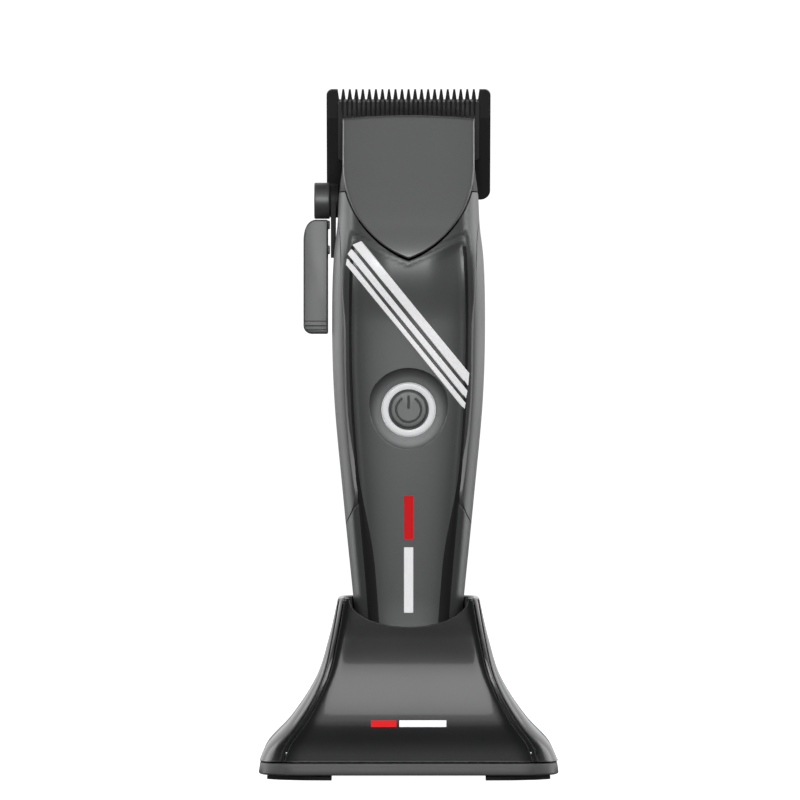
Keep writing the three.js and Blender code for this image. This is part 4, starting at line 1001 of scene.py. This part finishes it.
def make_stand_shell():
    socket_hole = box_solid((-5.1, 0, 6.55), (5.1, STAND_DEPTH, 11.05))
    shell = cut(stand_wall(), panel_prism(GAP), socket_hole)
    shell = cut(shell, seam_line())
    finish_piece(shell, "stand", GLOSS_BLACK, ["stand_shell"])
    smooth_on_form(shell, stand_form, 0)
    shell.name = "stand_shell_skin"
    return shell


def make_stand_panel():
    panel = keep(stand_wall(), panel_prism(0))
    panel = cut(panel, rim_dip(0))
    finish_piece(panel, "stand", GLOSS_BLACK, ["stand_front_panel"])
    smooth_on_form(panel, stand_form, 0)
    panel.name = "stand_front_panel_skin"
    return panel


def foot_ring(z, inset, plan=stand_form.outline):
    """The foot's outline at a height: the skirt's own, or another plan of the same size."""
    half, depth = STAND_WIDTH / 2 - inset, STAND_DEPTH / 2 - inset
    return np.column_stack([plan[:, 0] * half, plan[:, 1] * depth, np.full(len(plan), z)])


SKIRT_WALL = 3.5
BOSS_X, BOSS_Y = 26, 19                # the screw posts' places
LEDGE_X, LEDGE_Y = 19, 14              # where the corner ledges start
POST_RADIUS, BORE_RADIUS = 3.2, 1.6
CORNERS = [(x, y) for x in (-1, 1) for y in (-1, 1)]


def upright(name, radius, foot, head, x, y, sides):
    """A round post or bore at one of the stand's corners."""
    profile = [(0, foot), (radius, foot), (radius, head), (0, head)]
    return turned(name, profile, (x * BOSS_X, y * BOSS_Y, 0), "z", sides)


def make_skirt():
    """The lip around the stand's foot: a band that leans back, with ledges and screw posts inside."""
    bottom, top, lean = low("stand_skirt")[2], SKIRT_TOP, 0.3
    rings = [foot_ring(bottom, 0.5), foot_ring(bottom + 0.15, 0.15), foot_ring(bottom + 0.5, 0),
             foot_ring(top - 0.5, lean), foot_ring(top - 0.15, lean + 0.15), foot_ring(top, lean + 0.5)]
    hollow = loft("hollow", [foot_ring(z, SKIRT_WALL, FOOT_PLAN) for z in (bottom - 1, top + 1)])
    skirt = cut(loft("skirt_band", rings), hollow)
    ledge, ledge_top, far = bottom + 2 + GAP, top - 0.02, 60
    for x, y in CORNERS:
        (x0, x1), (y0, y1) = sorted((x * LEDGE_X, x * far)), sorted((y * LEDGE_Y, y * far))
        corner = box_solid((x0, y0, ledge), (x1, y1, ledge_top))
        inside = loft("ledge", [foot_ring(z, 2, FOOT_PLAN) for z in (ledge, ledge_top)])
        skirt = join(skirt, keep(corner, inside))
        skirt = join(skirt, upright("post", POST_RADIUS, ledge, top + 5, x, y, 36))
    for x, y in CORNERS:
        skirt = cut(skirt, upright("bore", BORE_RADIUS, 0, top + 4, x, y, 28))
    skirt.name = "stand_skirt_band"
    return finish_piece(skirt, "stand", LIP_BLACK, ["stand_skirt"])


# ---- what stays as the model has it, with its own finish ----
def keep_nodes():
    finishes = {
        "black_plastic": (BLACK_PLASTIC, 0.15), "bright_steel": (STEEL, 0.08),
        "contact_brass": (BRASS, 0.1), "circuit_board": (BOARD, 0.05),
        "battery_wrap": (CELL_WRAP, 0.5), "foot_rubber": (RUBBER, 0.2),
        "blade_steel": (BLADE_STEEL, 0.06), "gunmetal_paint": (GUNMETAL, 0.3),
        "grip_paint": (GRIP_PAINT, 0.2), "gloss_black": (GLOSS_BLACK, 0.3),
        "stripe_foil": (GLOWING_FOIL, 0.1), "light_diffuser": (DIFFUSER, 0.2),
    }
    slots = {s["node"]: s["material_slot"] for s in frame["record"]["subparts"]}
    for name, node in NODES.items():
        material, width = finishes[slots[name]]
        material = CUTTER_STEEL if name == "cutter_blade" else material
        node.data.materials.clear()
        node.data.materials.append(material)
        bevel = node.modifiers.new("soft_edges", "BEVEL")
        bevel.width = width * MM
        bevel.segments = 2
        bevel.limit_method = "ANGLE"
        bevel.angle_limit = math.radians(40)
        for polygon in node.data.polygons:
            polygon.use_smooth = True
        node.data.set_sharp_from_angle(angle=math.radians(30))


keep_nodes()
make_front_housing()
make_rear_housing()
make_shield()
for side, name in ((-1, "side_grip_left"), (1, "side_grip_right")):
    make_grip(side, name)
for name in STRIPES:
    make_stripe(name)
make_light_ring()
make_power_button()
make_sign_groove_shade()
make_lever_hub()
make_lever_collar()
make_lever_paddle()
# painted shade along both sides of the front panel's valley
for side, name in ((-1, "valley_shade_strip_left"), (1, "valley_shade_strip_right")):
    make_valley_shade_strip(side, name)
make_accent("accent_red", GLOWING_RED, up=(44.2, 56.4), **HANDLE_ACCENT)
make_accent("accent_white", GLOWING_FOIL, up=(23.8, 42.0), **HANDLE_ACCENT)
make_accent("stand_accent_red", GLOWING_RED, across=(-10.4, -3.4), **STAND_ACCENT)
make_accent("stand_accent_white", GLOWING_FOIL, across=(-2.6, 10.4), **STAND_ACCENT)
make_stand_shell()
make_stand_panel()
make_skirt()


# ---- stage, light and camera ----
def make_stage():
    """A pale round floor that sweeps up into a wall all round. It throws no light on the object."""
    flat, wall, rise, sides = 3.6, 4.4, 0.8, 64
    profile = [(0.0, 0.0), (flat, 0.0)]
    profile += [(flat + (wall - flat) * math.sin(a), rise * (1 - math.cos(a)))
                for a in np.linspace(0.15, math.pi / 2, 10)]
    profile.append((wall, 5.0))
    turns = np.linspace(0, 2 * math.pi, sides, endpoint=False)
    points = [(0, 0, 0)] + [(r * math.cos(t), r * math.sin(t), z) for r, z in profile[1:] for t in turns]
    faces = [(0, 1 + k, 1 + (k + 1) % sides) for k in range(sides)]
    for row in range(len(profile) - 2):
        for k in range(sides):
            i, j = 1 + row * sides + k, 1 + row * sides + (k + 1) % sides
            faces.append((i, i + sides, j + sides, j))
    mesh = bpy.data.meshes.new("pale_floor")
    mesh.from_pydata(points, [], faces)
    for polygon in mesh.polygons:
        polygon.use_smooth = True
    material = bpy.data.materials.new("pale_floor")
    material.use_nodes = True
    shader = material.node_tree.nodes["Principled BSDF"]
    shader.inputs["Base Color"].default_value = (0.92, 0.92, 0.92, 1)
    shader.inputs["Roughness"].default_value = 0.9
    shader.inputs["Emission Color"].default_value = (1, 1, 1, 1)
    shader.inputs["Emission Strength"].default_value = 1.0
    mesh.materials.append(material)
    floor = bpy.data.objects.new("pale_floor", mesh)
    bpy.context.scene.collection.objects.link(floor)
    floor.visible_glossy = False
    floor.visible_diffuse = False


def area_light(name, place, target, width, height, power):
    data = bpy.data.lights.new(name, "AREA")
    data.shape = "RECTANGLE"
    data.size, data.size_y = width, height
    data.energy = power
    light = bpy.data.objects.new(name, data)
    light.location = place
    light.rotation_mode = "QUATERNION"
    light.rotation_quaternion = (Vector(target) - Vector(place)).to_track_quat("-Z", "Y")
    light.visible_camera = False
    bpy.context.scene.collection.objects.link(light)
    return light


def make_lights():
    for_clipper = area_light("front_high", (0, -3.15, 0.7), (0, 0, 0.1), 0.85, 0.42, 26.5)
    for_foot = area_light("front_low", (0, -3.2, 0.15), (0, 0, 0.1), 0.85, 0.42, 25)
    area_light("behind", (0, 2.0, 1.5), (0, 0, 1.5), 6.0, 3.0, 51)
    area_light("above_front", (0, -1.13, 1.15), (0, 0, 0.02), 1.2, 0.95, 1.8)
    for_stand = area_light("above_stand", (0, -1.23, 1.07), (0, 0, 0.02), 1.3, 0.7, 10)
    stand_only = bpy.data.collections.new("stand_only")
    all_but_stand = bpy.data.collections.new("all_but_stand")
    for thing in bpy.context.scene.objects:
        if thing.type == "MESH":
            group = stand_only if thing.name.startswith("stand") else all_but_stand
            group.objects.link(thing)
    for light, receivers in ((for_stand, stand_only), (for_foot, stand_only), (for_clipper, all_but_stand)):
        light.light_linking.receiver_collection = receivers
    for side in (-1, 1):
        area_light("side", (1.2 * side, 0.7, 0.35), (0, 0, 0.1), 1.0, 1.4, 6.2)
        area_light("shoulder", (1.25 * side, -0.1, 0.9), (0, 0, 0.15), 0.4, 0.4, 3)
    world = bpy.data.worlds.new("studio")
    world.use_nodes = True
    background = world.node_tree.nodes["Background"]
    background.inputs["Color"].default_value = (1, 1, 1, 1)
    background.inputs["Strength"].default_value = 0.05
    bpy.context.scene.world = world


def make_camera():
    distance, seen_width = 2.35, 0.224
    data = bpy.data.cameras.new("camera")
    data.sensor_width = 36
    data.lens = 36 * distance / seen_width
    camera = bpy.data.objects.new("camera", data)
    camera.location = (-0.0024, -distance, 0.105)
    camera.rotation_euler = (math.pi / 2, 0, 0)
    bpy.context.scene.collection.objects.link(camera)
    bpy.context.scene.camera = camera


make_stage()
make_lights()
make_camera()
bpy.context.scene.view_settings.view_transform = "Standard"
